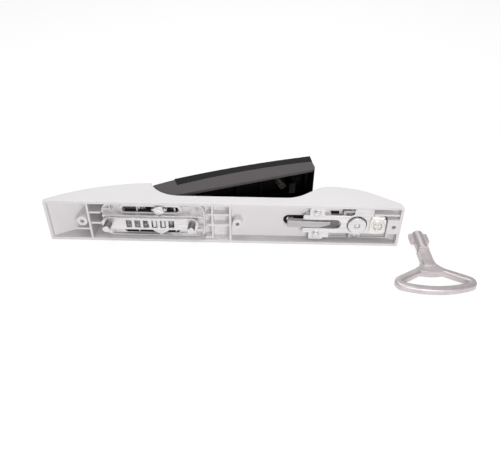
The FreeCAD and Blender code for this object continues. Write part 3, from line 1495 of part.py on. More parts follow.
def key_loop_outline(inset, top_y, bridge_corner):
    """The handle's rounded triangle, or its finger hole, from tangent arcs."""
    bend = size.key_corner_radius - inset
    bow = size.key_bow_radius - size.key_corner_radius
    left = (size.key_left_x, size.key_left_y)
    right = (size.key_right_x, size.key_right_y)
    run, fall = right[0] - left[0], right[1] - left[1]
    span = root(run * run + fall * fall)
    depth = root(bow * bow - span * span / 4)
    bow_x = (left[0] + right[0]) / 2 - fall / span * depth
    bow_y = (left[1] + right[1]) / 2 + run / span * depth

    def on_bow(corner):
        return (corner[0] + (corner[0] - bow_x) * bend / bow,
                corner[1] + (corner[1] - bow_y) * bend / bow)

    def on_slope(corner, slope, side):
        return corner[0] + bend * sine(slope) * side, corner[1] + bend * cosine(slope)

    def on_bridge(corner, slope, side, y):
        foot = on_slope(corner, slope, side)
        return foot[0] - (y - foot[1]) / tangent(slope) * side, y

    steps = [on_bow(left), (*on_bow(right), size.key_bow_radius - inset, 1)]
    steps.append((right[0] + bend, right[1], bend, 1))
    steps.append((*on_slope(right, size.key_right_slope, 1), bend, 1))
    right_end = on_bridge(right, size.key_right_slope, 1, top_y)
    left_end = on_bridge(left, size.key_left_slope, -1, top_y)
    if bridge_corner:
        right_cut = bridge_corner * tangent(size.key_right_slope / 2)
        left_cut = bridge_corner * tangent(size.key_left_slope / 2)
        steps.append((right_end[0] + right_cut * cosine(size.key_right_slope),
                      top_y - right_cut * sine(size.key_right_slope)))
        steps.append((right_end[0] - right_cut, top_y, bridge_corner, 1))
        steps.append((left_end[0] + left_cut, top_y))
        steps.append((left_end[0] - left_cut * cosine(size.key_left_slope),
                      top_y - left_cut * sine(size.key_left_slope), bridge_corner, 1))
    else:
        steps += [right_end, left_end]
    steps.append(on_slope(left, size.key_left_slope, -1))
    steps.append((left[0] - bend, left[1], bend, 1))
    first = (*on_bow(left), bend, 1)
    return [first] + steps[1:]


def make_key():
    floor = -size.half_width
    axis_z = floor + size.key_barrel_radius
    x = size.key_x
    bend = size.key_tip_round
    barrel = turned("key_barrel", "Y", x, 0, axis_z, [
        (0, size.key_step), (size.key_barrel_radius, size.key_step),
        (size.key_barrel_radius, size.key_tip - bend),
        (size.key_barrel_radius - bend, size.key_tip, bend, 1),
        (size.key_bore_radius, size.key_tip),
        (size.key_bore_radius, size.key_tip - size.key_bore_depth),
        (0, size.key_tip - size.key_bore_depth)])
    wings = []
    for number, side in enumerate((-1, 1)):
        low, high = sorted((x + (size.key_bore_radius + size.margin) * side,
                            x + size.key_wing_reach * side),
                           key=lambda item: item.value)
        wings.append(block(f"key_wing_{number}", low, high, size.key_wing_back,
                           size.key_wing_front, axis_z - size.key_wing_half,
                           axis_z + size.key_wing_half))
    low_z = floor + size.key_shank_low
    shank = block("key_shank", x - size.key_shank_half, x + size.key_shank_half,
                  size.key_bridge_top, size.key_step + size.key_rod_round, low_z,
                  low_z + size.key_shank_thickness)
    neck, reach = size.key_neck_half, size.key_neck_reach
    foot_y = size.key_bridge_top - size.margin
    foot_low = size.key_bridge_bottom + size.margin
    flare = slab("key_neck", low_z, floor + size.key_rod - size.key_shank_low, [
        (x - neck, size.key_neck_top),
        (x - neck - reach, foot_y, size.key_neck_radius, -1),
        (x - neck, foot_low), (x + neck, foot_low),
        (x + neck + reach, foot_y),
        (x + neck, size.key_neck_top, size.key_neck_radius, -1)])
    ring = slab("key_loop", floor, floor + size.key_rod,
                key_loop_outline(sized(0), size.key_bridge_top, None),
                key_loop_outline(size.key_rod, size.key_bridge_bottom, size.key_bridge_corner))
    rounded(ring, size.key_rod_round,
            lambda edge: lies_flat(edge)
            and edge.BoundBox.YMin < size.key_bridge_top.value - size.key_rod_round.value / 4,
            "key_loop_edges")
    half = size.key_pad_half
    pad = slab("key_pad", low_z, floor + size.key_rod + size.key_pad_rise, [
        (x + half, size.key_pad_y, size.key_pad_low_radius, 1),
        (x - half, size.key_pad_y, size.key_pad_radius, 1)])
    node("key", join("key_solid", barrel, *wings, shank, flare, ring, pad))


make_housing()
make_guide_frame()
make_rack_slider()
make_lever_body()
make_lever_cover()
make_gear_sector()
make_lever_catch()
make_pop_out_spring()
make_lock_plate()
make_latch_bolt()
make_insert()
make_key()
doc.recompute()

faults = [f"{thing.Name}: {thing.State}" for thing in doc.Objects
          if "Invalid" in thing.State or "Error" in thing.State]
for name, piece in NODES.items():
    shape = piece.Shape
    if shape.isNull() or not shape.isValid() or not shape.Solids:
        faults.append(f"{name}: no valid solid")
if faults:
    raise SystemExit("\n".join(faults))

os.makedirs("parts", exist_ok=True)
for name, piece in NODES.items():
    piece.Shape.exportStep(f"parts/{name}.step")
    box = piece.Shape.BoundBox
    print(f"{name}: {len(piece.Shape.Solids)} solids, {piece.Shape.Volume:.0f} mm3, "
          f"X {box.XMin:.1f} {box.XMax:.1f} Y {box.YMin:.1f} {box.YMax:.1f} "
          f"Z {box.ZMin:.1f} {box.ZMax:.1f}")
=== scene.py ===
"""Looks of a swing handle lock that lies on its long side, its lever half open, its key beside it.

Metres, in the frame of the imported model. +X runs to the lock insert, +Y out of the door, +Z up.
"""
import json
import math

import bmesh
import bpy
from mathutils import Matrix, Vector


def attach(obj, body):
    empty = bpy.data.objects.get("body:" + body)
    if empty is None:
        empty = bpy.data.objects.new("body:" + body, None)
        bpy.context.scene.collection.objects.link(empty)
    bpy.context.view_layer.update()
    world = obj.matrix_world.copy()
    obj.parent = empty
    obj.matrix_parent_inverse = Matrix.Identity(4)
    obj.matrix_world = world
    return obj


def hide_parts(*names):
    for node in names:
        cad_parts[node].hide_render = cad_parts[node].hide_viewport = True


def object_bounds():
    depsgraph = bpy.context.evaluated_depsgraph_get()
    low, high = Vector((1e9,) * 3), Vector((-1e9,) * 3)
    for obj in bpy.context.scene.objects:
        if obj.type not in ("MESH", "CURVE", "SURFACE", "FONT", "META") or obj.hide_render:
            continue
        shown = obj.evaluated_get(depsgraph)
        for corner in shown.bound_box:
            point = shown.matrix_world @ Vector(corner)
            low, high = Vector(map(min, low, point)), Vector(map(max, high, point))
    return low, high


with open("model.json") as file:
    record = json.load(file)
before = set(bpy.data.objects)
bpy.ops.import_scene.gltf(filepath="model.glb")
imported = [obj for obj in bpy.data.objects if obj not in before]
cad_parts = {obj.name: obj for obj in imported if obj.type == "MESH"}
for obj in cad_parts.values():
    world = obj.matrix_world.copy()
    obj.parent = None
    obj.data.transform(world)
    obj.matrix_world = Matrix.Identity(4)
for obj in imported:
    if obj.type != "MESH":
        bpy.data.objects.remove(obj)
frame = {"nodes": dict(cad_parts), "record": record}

MM = 0.001
CAD_BOX = [list(corner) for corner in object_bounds()]
BODY_OF = {node: body for body, nodes in frame["record"]["behaviour"]["bodies"].items()
           for node in nodes}
SLOT_OF = {part["node"]: part["material_slot"] for part in frame["record"]["subparts"]}

# Camera, as the photograph was taken

CAMERA_TARGET = Vector((9.93, 0.0, -0.32)) * MM
CAMERA_DISTANCE = 404.39 * MM
CAMERA_AZIMUTH = math.radians(0.68)
CAMERA_ELEVATION = math.radians(35.67)
CAMERA_ROLL = math.radians(0.77)
CAMERA_LENS = 36.78
CAMERA_SENSOR = 36.0
NEAREST_SEEN = 0.01
FARTHEST_SEEN = 20.0


def make_camera():
    """A camera that looks at the target from its azimuth and elevation."""
    flat = math.cos(CAMERA_ELEVATION)
    back = Vector((math.sin(CAMERA_AZIMUTH) * flat, -math.cos(CAMERA_AZIMUTH) * flat,
                   math.sin(CAMERA_ELEVATION)))
    level = Vector((math.cos(CAMERA_AZIMUTH), math.sin(CAMERA_AZIMUTH), 0.0))
    rise = back.cross(level)
    right = level * math.cos(CAMERA_ROLL) + rise * math.sin(CAMERA_ROLL)
    up = rise * math.cos(CAMERA_ROLL) - level * math.sin(CAMERA_ROLL)
    lens = bpy.data.cameras.new("photo_camera")
    lens.lens = CAMERA_LENS
    lens.sensor_width = CAMERA_SENSOR
    lens.clip_start = NEAREST_SEEN
    lens.clip_end = FARTHEST_SEEN
    camera = bpy.data.objects.new("photo_camera", lens)
    turn = Matrix((right, up, back)).transposed().to_4x4()
    camera.matrix_world = Matrix.Translation(CAMERA_TARGET + back * CAMERA_DISTANCE) @ turn
    bpy.context.scene.collection.objects.link(camera)
    bpy.context.scene.camera = camera


# Materials

BRIGHTEST = 0.95


def shade(colour, factor):
    """A colour made lighter or darker, and kept below pure white."""
    return tuple(min(channel * factor, BRIGHTEST) for channel in colour)


class Recipe:
    """A material's nodes, added and linked by name."""

    def __init__(self, name):
        self.material = bpy.data.materials.new(name)
        self.material.use_nodes = True
        self.tree = self.material.node_tree
        self.tree.nodes.clear()
        self.place = self.add("ShaderNodeTexCoord").outputs["Object"]

    def add(self, kind, inputs=None, **settings):
        """A node whose inputs are values or the outputs of other nodes."""
        node = self.tree.nodes.new(kind)
        for setting, value in settings.items():
            setattr(node, setting, value)
        for socket, value in (inputs or {}).items():
            if isinstance(value, bpy.types.NodeSocket):
                self.tree.links.new(value, node.inputs[socket])
            else:
                node.inputs[socket].default_value = value
        return node

    def noise(self, pattern, stretch=None):
        """Noise over the piece; stretch draws it out along an axis."""
        scale, detail = pattern
        place = self.place
        if stretch:
            place = self.add("ShaderNodeMapping", {"Vector": place, "Scale": stretch}).outputs[0]
        return self.add("ShaderNodeTexNoise", {
            "Vector": place, "Scale": scale, "Detail": detail}).outputs["Fac"]

    def tones(self, source, colour, darker, band):
        """A darker shade that turns into the colour over a band of a grey value."""
        node = self.add("ShaderNodeValToRGB", {"Fac": source})
        pair = (shade(colour, darker), colour)
        for stop, where, tone in zip(node.color_ramp.elements, band, pair):
            stop.position = where
            stop.color = (*tone, 1.0)
        return node.outputs["Color"]

    def grey(self, source, low, high):
        """A grey value mapped to a range."""
        return self.add("ShaderNodeMapRange", {
            "Value": source, "To Min": low, "To Max": high}).outputs["Result"]

    def gloss(self, pattern, roughness, spread):
        """Roughness that wanders between a little under and a little over its own value."""
        under, over = spread
        return self.grey(self.noise(pattern), roughness + under, roughness + over)

    def bump(self, height, distance, before=None):
        """A relief of a depth in metres, laid over the relief before it."""
        inputs = {"Height": height, "Distance": distance, "Strength": 1.0}
        if before is not None:
            inputs["Normal"] = before
        return self.add("ShaderNodeBump", inputs).outputs["Normal"]

    def finish(self, **sockets):
        """The shader, each socket named with _ for its spaces, and the finished material."""
        shader = self.add("ShaderNodeBsdfPrincipled", {
            name.replace("_", " "): value for name, value in sockets.items()})
        self.add("ShaderNodeOutputMaterial", {"Surface": shader.outputs["BSDF"]})
        return self.material


# Patterns of the skins: cells per metre, and how much finer detail they hold

FLOW_CLOUDS = (22.0, 3.0)
PLASTIC_SCUFFS = (160.0, 5.0)
ERODED_GRAIN = (2600.0, 2.0)
SINK_WAVES = (70.0, 2.0)
CAST_PATCHES = (140.0, 6.0)
CAST_SCUFFS = (420.0, 4.0)
CAST_SKIN = (1500.0, 4.0)
CAST_WAVES = (180.0, 2.0)
HAIR_LINES = (900.0, 5.0)
STEEL_SCUFFS = (300.0, 4.0)
SHEET_WAVES = (120.0, 2.0)

# Reliefs: depth in metres, and how many times deeper a casting's waves are than its skin

SINK_DEPTH = 0.00002
LINE_DEPTH = 0.000012
SHEET_DEPTH = 0.00003
WAVES_OVER_SKIN = 3.0

# Darker shades, and the band of a pattern's grey over which each turns into its colour

CLOUD_SHADE = 0.96
PATCH_SHADE = 0.86
LINE_SHADE = 0.84
WIDE_BAND = (0.3, 0.7)
CLEAR_BAND = (0.35, 0.65)

# Scuffs: how far the roughness goes under and over its value

PLASTIC_SPREAD = (-0.06, 0.06)
CAST_SPREAD = (-0.08, 0.1)
STEEL_SPREAD = (-0.07, 0.09)
STEEL_METAL = 0.9


def moulded_plastic(name, colour, grain, roughness, sheen):
    """Moulded plastic: fine eroded grain, faint flow clouds and scuffed gloss."""
    recipe = Recipe(name)
    base = recipe.tones(recipe.noise(FLOW_CLOUDS), colour, CLOUD_SHADE, WIDE_BAND)
    gloss = recipe.gloss(PLASTIC_SCUFFS, roughness, PLASTIC_SPREAD)
    fine = recipe.bump(recipe.noise(ERODED_GRAIN), grain)
    soft = recipe.bump(recipe.noise(SINK_WAVES), SINK_DEPTH, fine)
    return recipe.finish(
        Base_Color=base, Roughness=gloss, Specular_IOR_Level=sheen, Normal=soft)


def cast_zinc(name, colour, roughness, skin, metal):
    """As-cast zinc: a slightly wavy satin skin with darker patches."""
    recipe = Recipe(name)
    base = recipe.tones(recipe.noise(CAST_PATCHES), colour, PATCH_SHADE, CLEAR_BAND)
    gloss = recipe.gloss(CAST_SCUFFS, roughness, CAST_SPREAD)
    fine = recipe.bump(recipe.noise(CAST_SKIN), skin)
    wavy = recipe.bump(recipe.noise(CAST_WAVES), skin * WAVES_OVER_SKIN, fine)
    return recipe.finish(Base_Color=base, Metallic=metal, Roughness=gloss, Normal=wavy)


def rolled_steel(name, colour, roughness, stretch):
    """Rolled or drawn steel under zinc: hair lines along the sheet and scuffed gloss."""
    recipe = Recipe(name)
    lines = recipe.noise(HAIR_LINES, stretch)
    base = recipe.tones(lines, colour, LINE_SHADE, CLEAR_BAND)
    gloss = recipe.gloss(STEEL_SCUFFS, roughness, STEEL_SPREAD)
    fine = recipe.bump(lines, LINE_DEPTH)
    wavy = recipe.bump(recipe.noise(SHEET_WAVES), SHEET_DEPTH, fine)
    return recipe.finish(Base_Color=base, Metallic=STEEL_METAL, Roughness=gloss, Normal=wavy)


# Plastics: colour, grain, roughness and sheen

PLASTICS = {
    "housing_plastic": ((0.83, 0.815, 0.82), 0.000006, 0.46, 0.38),
    # Painted shade: a darker finish for the housing's hollows
    "housing_painted_shade": ((0.62, 0.608, 0.612), 0.00001, 0.62, 0.25),
    "lever_plastic": ((0.086, 0.076, 0.08), 0.00001, 0.5, 0.4),
    # Painted shade: a near black finish for the lever's hollow
    "lever_painted_shade": ((0.004, 0.003, 0.003), 0.00001, 0.7, 0.15),
    "cover_plastic": ((0.011, 0.01, 0.01), 0.00001, 0.5, 0.15),
    # Painted shade: a black finish for the trim in the latch slot and on the floor
    "painted_shade_black": ((0.015, 0.013, 0.013), 0.00002, 0.7, 0.2),
}

# Castings: colour, roughness, depth of the skin and share of metal

CASTINGS = {
    "die_cast": ((0.83, 0.815, 0.82), 0.44, 0.00001, 0.75),
    # Painted shade: a near black finish for the lower sides of the guide frame's slots
    "cast_painted_shade": ((0.032, 0.03, 0.03), 0.65, 0.00002, 0.0),
    "key_zinc": ((0.7, 0.645, 0.655), 0.4, 0.000012, 0.6),
}

# Steels: colour, roughness and the way that the hair lines run

ALONG = (0.07, 1.0, 1.0)
ROUND = (1.0, 0.1, 1.0)
EVEN = (1.0, 1.0, 1.0)
STEELS = {
    "zinc_plate": ((0.82, 0.81, 0.81), 0.36, ALONG),
    "bolt_zinc": ((0.55, 0.535, 0.54), 0.4, ALONG),
    "shaded_zinc": ((0.22, 0.205, 0.205), 0.5, ALONG),
    "screw_steel": ((0.78, 0.77, 0.77), 0.3, ROUND),
    "black_steel": ((0.012, 0.011, 0.011), 0.55, EVEN),
    "spring_steel": ((0.11, 0.095, 0.085), 0.4, EVEN),
    "yellow_zinc": ((0.92, 0.905, 0.85), 0.38, EVEN),
}

# Rounded edges: how much lighter and how much less rough than the piece

EDGE_LIGHT = 1.12
EDGE_GLOSS = 0.82


def make_finishes():
    """A finish for each slot, and one for its rounded edges, lighter and less rough."""
    finishes = {}
    for ending, light, gloss in (("", 1.0, 1.0), ("_lighter_edge", EDGE_LIGHT, EDGE_GLOSS)):
        for slot, (colour, grain, roughness, sheen) in PLASTICS.items():
            finishes[slot + ending] = moulded_plastic(
                slot + ending, shade(colour, light), grain, roughness * gloss, sheen)
        for slot, (colour, roughness, skin, metal) in CASTINGS.items():
            finishes[slot + ending] = cast_zinc(
                slot + ending, shade(colour, light), roughness * gloss, skin, metal)
        for slot, (colour, roughness, stretch) in STEELS.items():
            finishes[slot + ending] = rolled_steel(
                slot + ending, shade(colour, light), roughness * gloss, stretch)
    return finishes


# Softened pieces: width of each rounding in millimetres, and the room an edge needs, in widths

WIDE_ROOM = 2.0
CLOSE_ROOM = 1.2
SOFT_EDGES = {
    "housing_shell": (0.4, CLOSE_ROOM),
    "guide_frame": (0.22, WIDE_ROOM),
    "rack_slider": (0.25, CLOSE_ROOM),
    "drive_pins": (0.15, CLOSE_ROOM),
    "lever_body": (0.35, WIDE_ROOM),
    "lever_cover": (0.35, WIDE_ROOM),
    "lever_catch": (0.3, CLOSE_ROOM),
    "lock_plate": (0.22, CLOSE_ROOM),
    "clamp_plate": (0.25, CLOSE_ROOM),
    "latch_bolt": (0.4, WIDE_ROOM),
    "insert_housing": (0.25, CLOSE_ROOM),
    "key_rotor": (0.2, WIDE_ROOM),
    "lock_cam": (0.15, CLOSE_ROOM),
    "key": (0.3, WIDE_ROOM),
    "pivot_pin": (0.25, CLOSE_ROOM),
    "pin_lock_screw": (0.14, CLOSE_ROOM),
    "lock_plate_screws": (0.1, CLOSE_ROOM),
    "clamp_screw": (0.1, CLOSE_ROOM),
    "cam_screw": (0.1, CLOSE_ROOM),
}
LEAST_LENGTH = 1.25
SHARP_TURN = math.radians(28.0)
BEVEL_RINGS = 3

# Joining up: gap between doubled corners in millimetres, and turns that count as flat or smooth

MERGE = 0.001
FLAT_TURN = math.radians(0.05)
SMOOTH_COSINE = math.cos(math.radians(36.0))

# Places of the finishes on a piece, after its own at 0: its lighter rounded edges, then painted
# shade in its hollows

LIGHTER_EDGE = 1
PAINTED_SHADE = 2

# Screws that are turned until their slot points as in the photograph

SCREW_TURNS = {"pin_lock_screw": math.radians(17.0)}

# Recesses, as boxes in millimetres: left, right, back, front, low and high

RECESSES = {
    "housing_shell": (
        (74.5, 91.4, 8.0, 10.4, -16.2, -11.4),
        (98.4, 120.4, 8.0, 10.4, -16.2, -11.4),
    ),
}


def has_room(edge, width, room):
    """True for a sharp edge that is long enough to round and has no short edge beside it."""
    if len(edge.link_faces) != 2 or edge.calc_face_angle() < SHARP_TURN:
        return False
    if edge.calc_length() < LEAST_LENGTH * room * width:
        return False
    beside = {other for corner in edge.verts for other in corner.link_edges} - {edge}
    return all(other.calc_length() > room * width for other in beside)


def smooth_corners(mesh):
    """Each face corner takes the mean normal, by area, of the faces that meet there smoothly."""
    shape = bmesh.new()
    shape.from_mesh(mesh)
    normals = []
    for face in shape.faces:
        for corner in face.loops:
            near = [other for other in corner.vert.link_faces
                    if other.normal.dot(face.normal) > SMOOTH_COSINE]
            total = sum((other.normal * other.calc_area() for other in near), Vector())
            normals.append(total.normalized() if total.length > 0.0 else face.normal.copy())
    shape.free()
    mesh.shade_smooth()
    mesh.normals_split_custom_set(normals)


def turn_screw(shape, angle):
    """Turns a screw on its own axis, which lies along Y."""
    low, high = (Vector([pick(corner.co[axis] for corner in shape.verts) for axis in range(3)])
                 for pick in (min, max))
    bmesh.ops.rotate(shape, cent=(low + high) / 2.0, matrix=Matrix.Rotation(angle, 3, "Y"),
                     verts=shape.verts)


def join_flat(shape):
    """Merges doubled corners, then joins the triangles of each flat face."""
    bmesh.ops.remove_doubles(shape, verts=shape.verts, dist=MERGE * MM)
    bmesh.ops.dissolve_limit(shape, angle_limit=FLAT_TURN, verts=shape.verts, edges=shape.edges)


def box_between(left, right, back, front, low, high):
    """A box between places in millimetres along X, Y and Z."""
    shape = bmesh.new()
    bmesh.ops.create_cube(shape, size=1.0)
    for corner in shape.verts:
        corner.co = Vector((
            left if corner.co.x < 0.0 else right,
            back if corner.co.y < 0.0 else front,
            low if corner.co.z < 0.0 else high)) * MM
    return shape


def cut_out(shape, box):
    """Cuts a box out of a closed shape."""
    solids = []
    for solid in (shape, box):
        mesh = bpy.data.meshes.new("cut_step")
        solid.to_mesh(mesh)
        solids.append(bpy.data.objects.new("cut_step", mesh))
        bpy.context.scene.collection.objects.link(solids[-1])
    box.free()
    cut = solids[0].modifiers.new("recess", "BOOLEAN")
    cut.operation = "DIFFERENCE"
    cut.solver = "EXACT"
    cut.object = solids[1]
    left_over = solids[0].evaluated_get(bpy.context.evaluated_depsgraph_get())
    shape.clear()
    shape.from_mesh(left_over.to_mesh())
    left_over.to_mesh_clear()
    for solid in solids:
        bpy.data.meshes.remove(solid.data)


def new_piece(name, shape):
    """A piece at the origin, made of a finished shape."""
    mesh = bpy.data.meshes.new(name)
    shape.to_mesh(mesh)
    shape.free()
    smooth_corners(mesh)
    piece = bpy.data.objects.new(name, mesh)
    bpy.context.scene.collection.objects.link(piece)
    return piece


def soften(name):
    """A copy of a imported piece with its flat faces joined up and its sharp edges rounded."""
    width, room = SOFT_EDGES[name]
    shape = bmesh.new()
    shape.from_mesh(frame["nodes"][name].data)
    turn_screw(shape, SCREW_TURNS.get(name, 0.0))
    join_flat(shape)
    for recess in RECESSES.get(name, ()):
        cut_out(shape, box_between(*recess))
        join_flat(shape)
    edges = [edge for edge in shape.edges if has_room(edge, width * MM, room)]
    rounded = bmesh.ops.bevel(
        shape, geom=edges, offset=width * MM, offset_type="OFFSET", segments=BEVEL_RINGS,
        profile=0.5, affect="EDGES", clamp_overlap=False, material=-1)
    for face in rounded["faces"]:
        face.material_index = LIGHTER_EDGE
    piece = new_piece(name + "_soft", shape)
    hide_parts(name)
    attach(piece, BODY_OF[name])
    return piece


# Faces darkened to match the shade in the photograph, with places in millimetres

LEVER_PIVOT = Vector(next(joint for joint in frame["record"]["behaviour"]["joints"]
                          if joint["name"] == "lever_turn")["pos_m"])
SHUT = Matrix.Rotation(math.radians(-22.0), 3, "Z")
LEVER_RIM = -2.0
LEVER_WALL_INSIDE = 14.5
LEVER_END_INSIDE = 137.4
HEEL_TOP = 17.0
WALL_INSIDE = 16.4
FLOOR_BACK = 8.4
RIB_DEPTH = 4.0
RIB_CELLS = (-118.0, -103.9)
LOWER_WALLS = ((-149.5, -118.0), (-5.0, 127.0))
RECESS_SLACK = 0.1
SLOT_FLOORS = (-12.4, 7.4)
FLOOR_SLACK = 0.3

# How much of a face's direction lies along an axis

MOSTLY = 0.5
NEARLY_ALL = 0.9


def in_lever(middle, way):
    """The lever's hollow, with the lever turned back to shut; its heel's top lies outside."""
    middle = SHUT @ (middle - LEVER_PIVOT / MM)
    outer_top = (SHUT @ way).y > MOSTLY and middle.y > HEEL_TOP
    inside = abs(middle.z) < LEVER_WALL_INSIDE and LEVER_RIM < middle.y
    return inside and not outer_top and middle.x < LEVER_END_INSIDE


def in_recess(middle):
    """The floor and the sides of the recesses in the housing."""
    return any(left < middle.x < right and FLOOR_BACK < middle.y < front + RECESS_SLACK
               and low - RECESS_SLACK < middle.z < high + RECESS_SLACK
               for left, right, _, front, low, high in RECESSES["housing_shell"])


def in_housing(middle, way):
    """The cells between the ribs at the left end, the recesses and the lower wall in the bays."""
    left, right = RIB_CELLS
    cell = left < middle.x < right and middle.y > RIB_DEPTH and way.y < MOSTLY
    wall = (way.z > NEARLY_ALL and middle.z < 0.0
            and any(start < middle.x < end for start, end in LOWER_WALLS))
    return abs(middle.z) < WALL_INSIDE and (cell or in_recess(middle) or wall)


def in_frame(middle, way):
    """The lower side of each slot in the guide frame."""
    return way.z > NEARLY_ALL and any(abs(middle.z - level) < FLOOR_SLACK
                                      for level in SLOT_FLOORS)


def on_pin_side(_, way):
    """The round side of a drive pin, and not its ends."""
    return abs(way.y) < MOSTLY


# Painted shade: for each piece, the darker finish of its hollows and the test for a face in them
DARKENED_SIDES = {
    "lever_body": ("lever_painted_shade", in_lever),
    "housing_shell": ("housing_painted_shade", in_housing),
    "guide_frame": ("cast_painted_shade", in_frame),
    "drive_pins": ("shaded_zinc", on_pin_side),
}


def darken_hollow(mesh, finish, in_hollow):
    """Faces in a hollow take a darker and duller finish than the rest of their piece: painted
    shade.
    """
    mesh.materials.append(finish)
    for face in mesh.polygons:
        if in_hollow(face.center / MM, face.normal):
            face.material_index = PAINTED_SHADE


def dress_nodes(finishes):
    """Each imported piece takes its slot's finish, and a brighter one along its rounded edges."""
    for name, node in frame["nodes"].items():
        piece = soften(name) if name in SOFT_EDGES else node
        slot = SLOT_OF[name]
        piece.data.materials.clear()
        piece.data.materials.append(finishes[slot])
        piece.data.materials.append(finishes[slot + "_lighter_edge"])
        # Painted shade on the faces in the piece's hollows
        if name in DARKENED_SIDES:
            finish, in_hollow = DARKENED_SIDES[name]
            darken_hollow(piece.data, finishes[finish], in_hollow)


# Trim with round ends, in millimetres: left, right, height of the middle and half width

SLOT_PAD = (-94.4, -43.5, 9.9, 4.35)
SLOT_HOLE = (-91.4, -46.5, 9.9, 2.5)
# Outlines of the dark ring in the latch slot, which is painted shade
LATCH_SLOT = (36.55, 55.95, 0.0, 4.25)
BOLT_ROOM = (39.2, 55.0, 0.0, 3.2)
END_STEPS = 24

# Trim with straight sides, in millimetres

# A dark plate behind the latch slot, painted shade that rides with the bolt
SLOT_SHADE_PLATE = (43.8, 54.6, 11.1, 11.7, -4.1, 4.1)
END_RIBS = (
    ((-100.8, 8.0), (-100.8, 14.6)),
    ((-107.0, 10.4), (-101.2, 10.4)),
    ((-37.2, 7.6), (-37.2, 14.6)),
    ((-43.2, 13.4), (-37.6, 13.4)),
)
RIB_HALF = 0.4
# Painted shadow on the bolt: a dark wedge on its bar, and the shade of its tail
BAR_SHADOW_WEDGE = ((64.6, -2.85), (73.4, -2.85), (73.4, 0.4))
TAIL_SHADE = (73.6, 80.9, -4.6, 4.6)
# Painted shade: a dark patch on the floor beside the lock plate
FLOOR_SHADE_PATCH = (73.4, 80.6, 6.4, 9.3)
TAB_SCREWS = ((62.7, 10.2), (62.7, -10.2))
COLLAR_RADIUS = 3.6
COLLAR_HOLE = 2.72

# What the trim lies on and how far it rises or sinks, in millimetres

FRAME_BACK = 5.0
PAD_RISE = 1.15
RIB_RISE = 1.7
BAR_BACK = 1.6
TAIL_BACK = 4.3
INLAY = 0.08
PLATE_BACK = 2.6
COLLAR_RISE = 0.45
SHADE_RING_GAP = 0.05
SHADE_RING_DEPTH = 2.2
SHADE_PATCH_DEPTH = 0.12

# Rounding of the trim

TRIM_EDGE = 0.2
INLAY_EDGE = INLAY / 3.0
SHADE_PATCH_EDGE = SHADE_PATCH_DEPTH / 3.0
COLLAR_EDGE = 0.1
TRIM_RINGS = 2
TRIM_SHARP_TURN = SHARP_TURN * 2.0


def round_slot(left, right, middle, half):
    """The outline of a slot with round ends, in the XZ plane."""
    corners = []
    for centre, start in ((right - half, -90.0), (left + half, 90.0)):
        for step in range(END_STEPS + 1):
            turn = math.radians(start + 180.0 * step / END_STEPS)
            corners.append((centre + half * math.cos(turn), middle + half * math.sin(turn)))
    return corners


def add_trim(name, shape, finish, edge=TRIM_EDGE, body="housing"):
    """A new piece, its sharp edges rounded, that goes with a body."""
    bmesh.ops.recalc_face_normals(shape, faces=shape.faces)
    edges = [side for side in shape.edges if side.calc_face_angle(0.0) > TRIM_SHARP_TURN]
    bmesh.ops.bevel(shape, geom=edges, offset=edge * MM, offset_type="OFFSET",
                    segments=TRIM_RINGS, profile=0.5, affect="EDGES", clamp_overlap=True,
                    material=-1)
    piece = new_piece(name, shape)
    piece.data.materials.append(finish)
    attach(piece, body)


def ring_between(outer, inner, back, front):
    """A flat ring between two slot outlines with as many corners each."""
    shape = bmesh.new()
    loops = []
    for outline in (outer, inner):
        for depth in (back, front):
            loops.append([shape.verts.new(Vector((x, depth, z)) * MM) for x, z in outline])
    outer_back, outer_front, inner_back, inner_front = loops
    count = len(outer_back)
    for first, second in ((outer_back, outer_front), (inner_back, inner_front),
                          (outer_back, inner_back), (outer_front, inner_front)):
        for place in range(count):
            ahead = (place + 1) % count
            shape.faces.new((first[place], first[ahead], second[ahead], second[place]))
    return shape


def prism(outline, back, front):
    """A flat piece with its outline in the XZ plane."""
    shape = bmesh.new()
    near = [shape.verts.new(Vector((x, back, z)) * MM) for x, z in outline]
    far = [shape.verts.new(Vector((x, front, z)) * MM) for x, z in outline]
    shape.faces.new(near)
    shape.faces.new(far)
    for place, corner in enumerate(near):
        ahead = (place + 1) % len(near)
        shape.faces.new((corner, near[ahead], far[ahead], far[place]))
    return shape


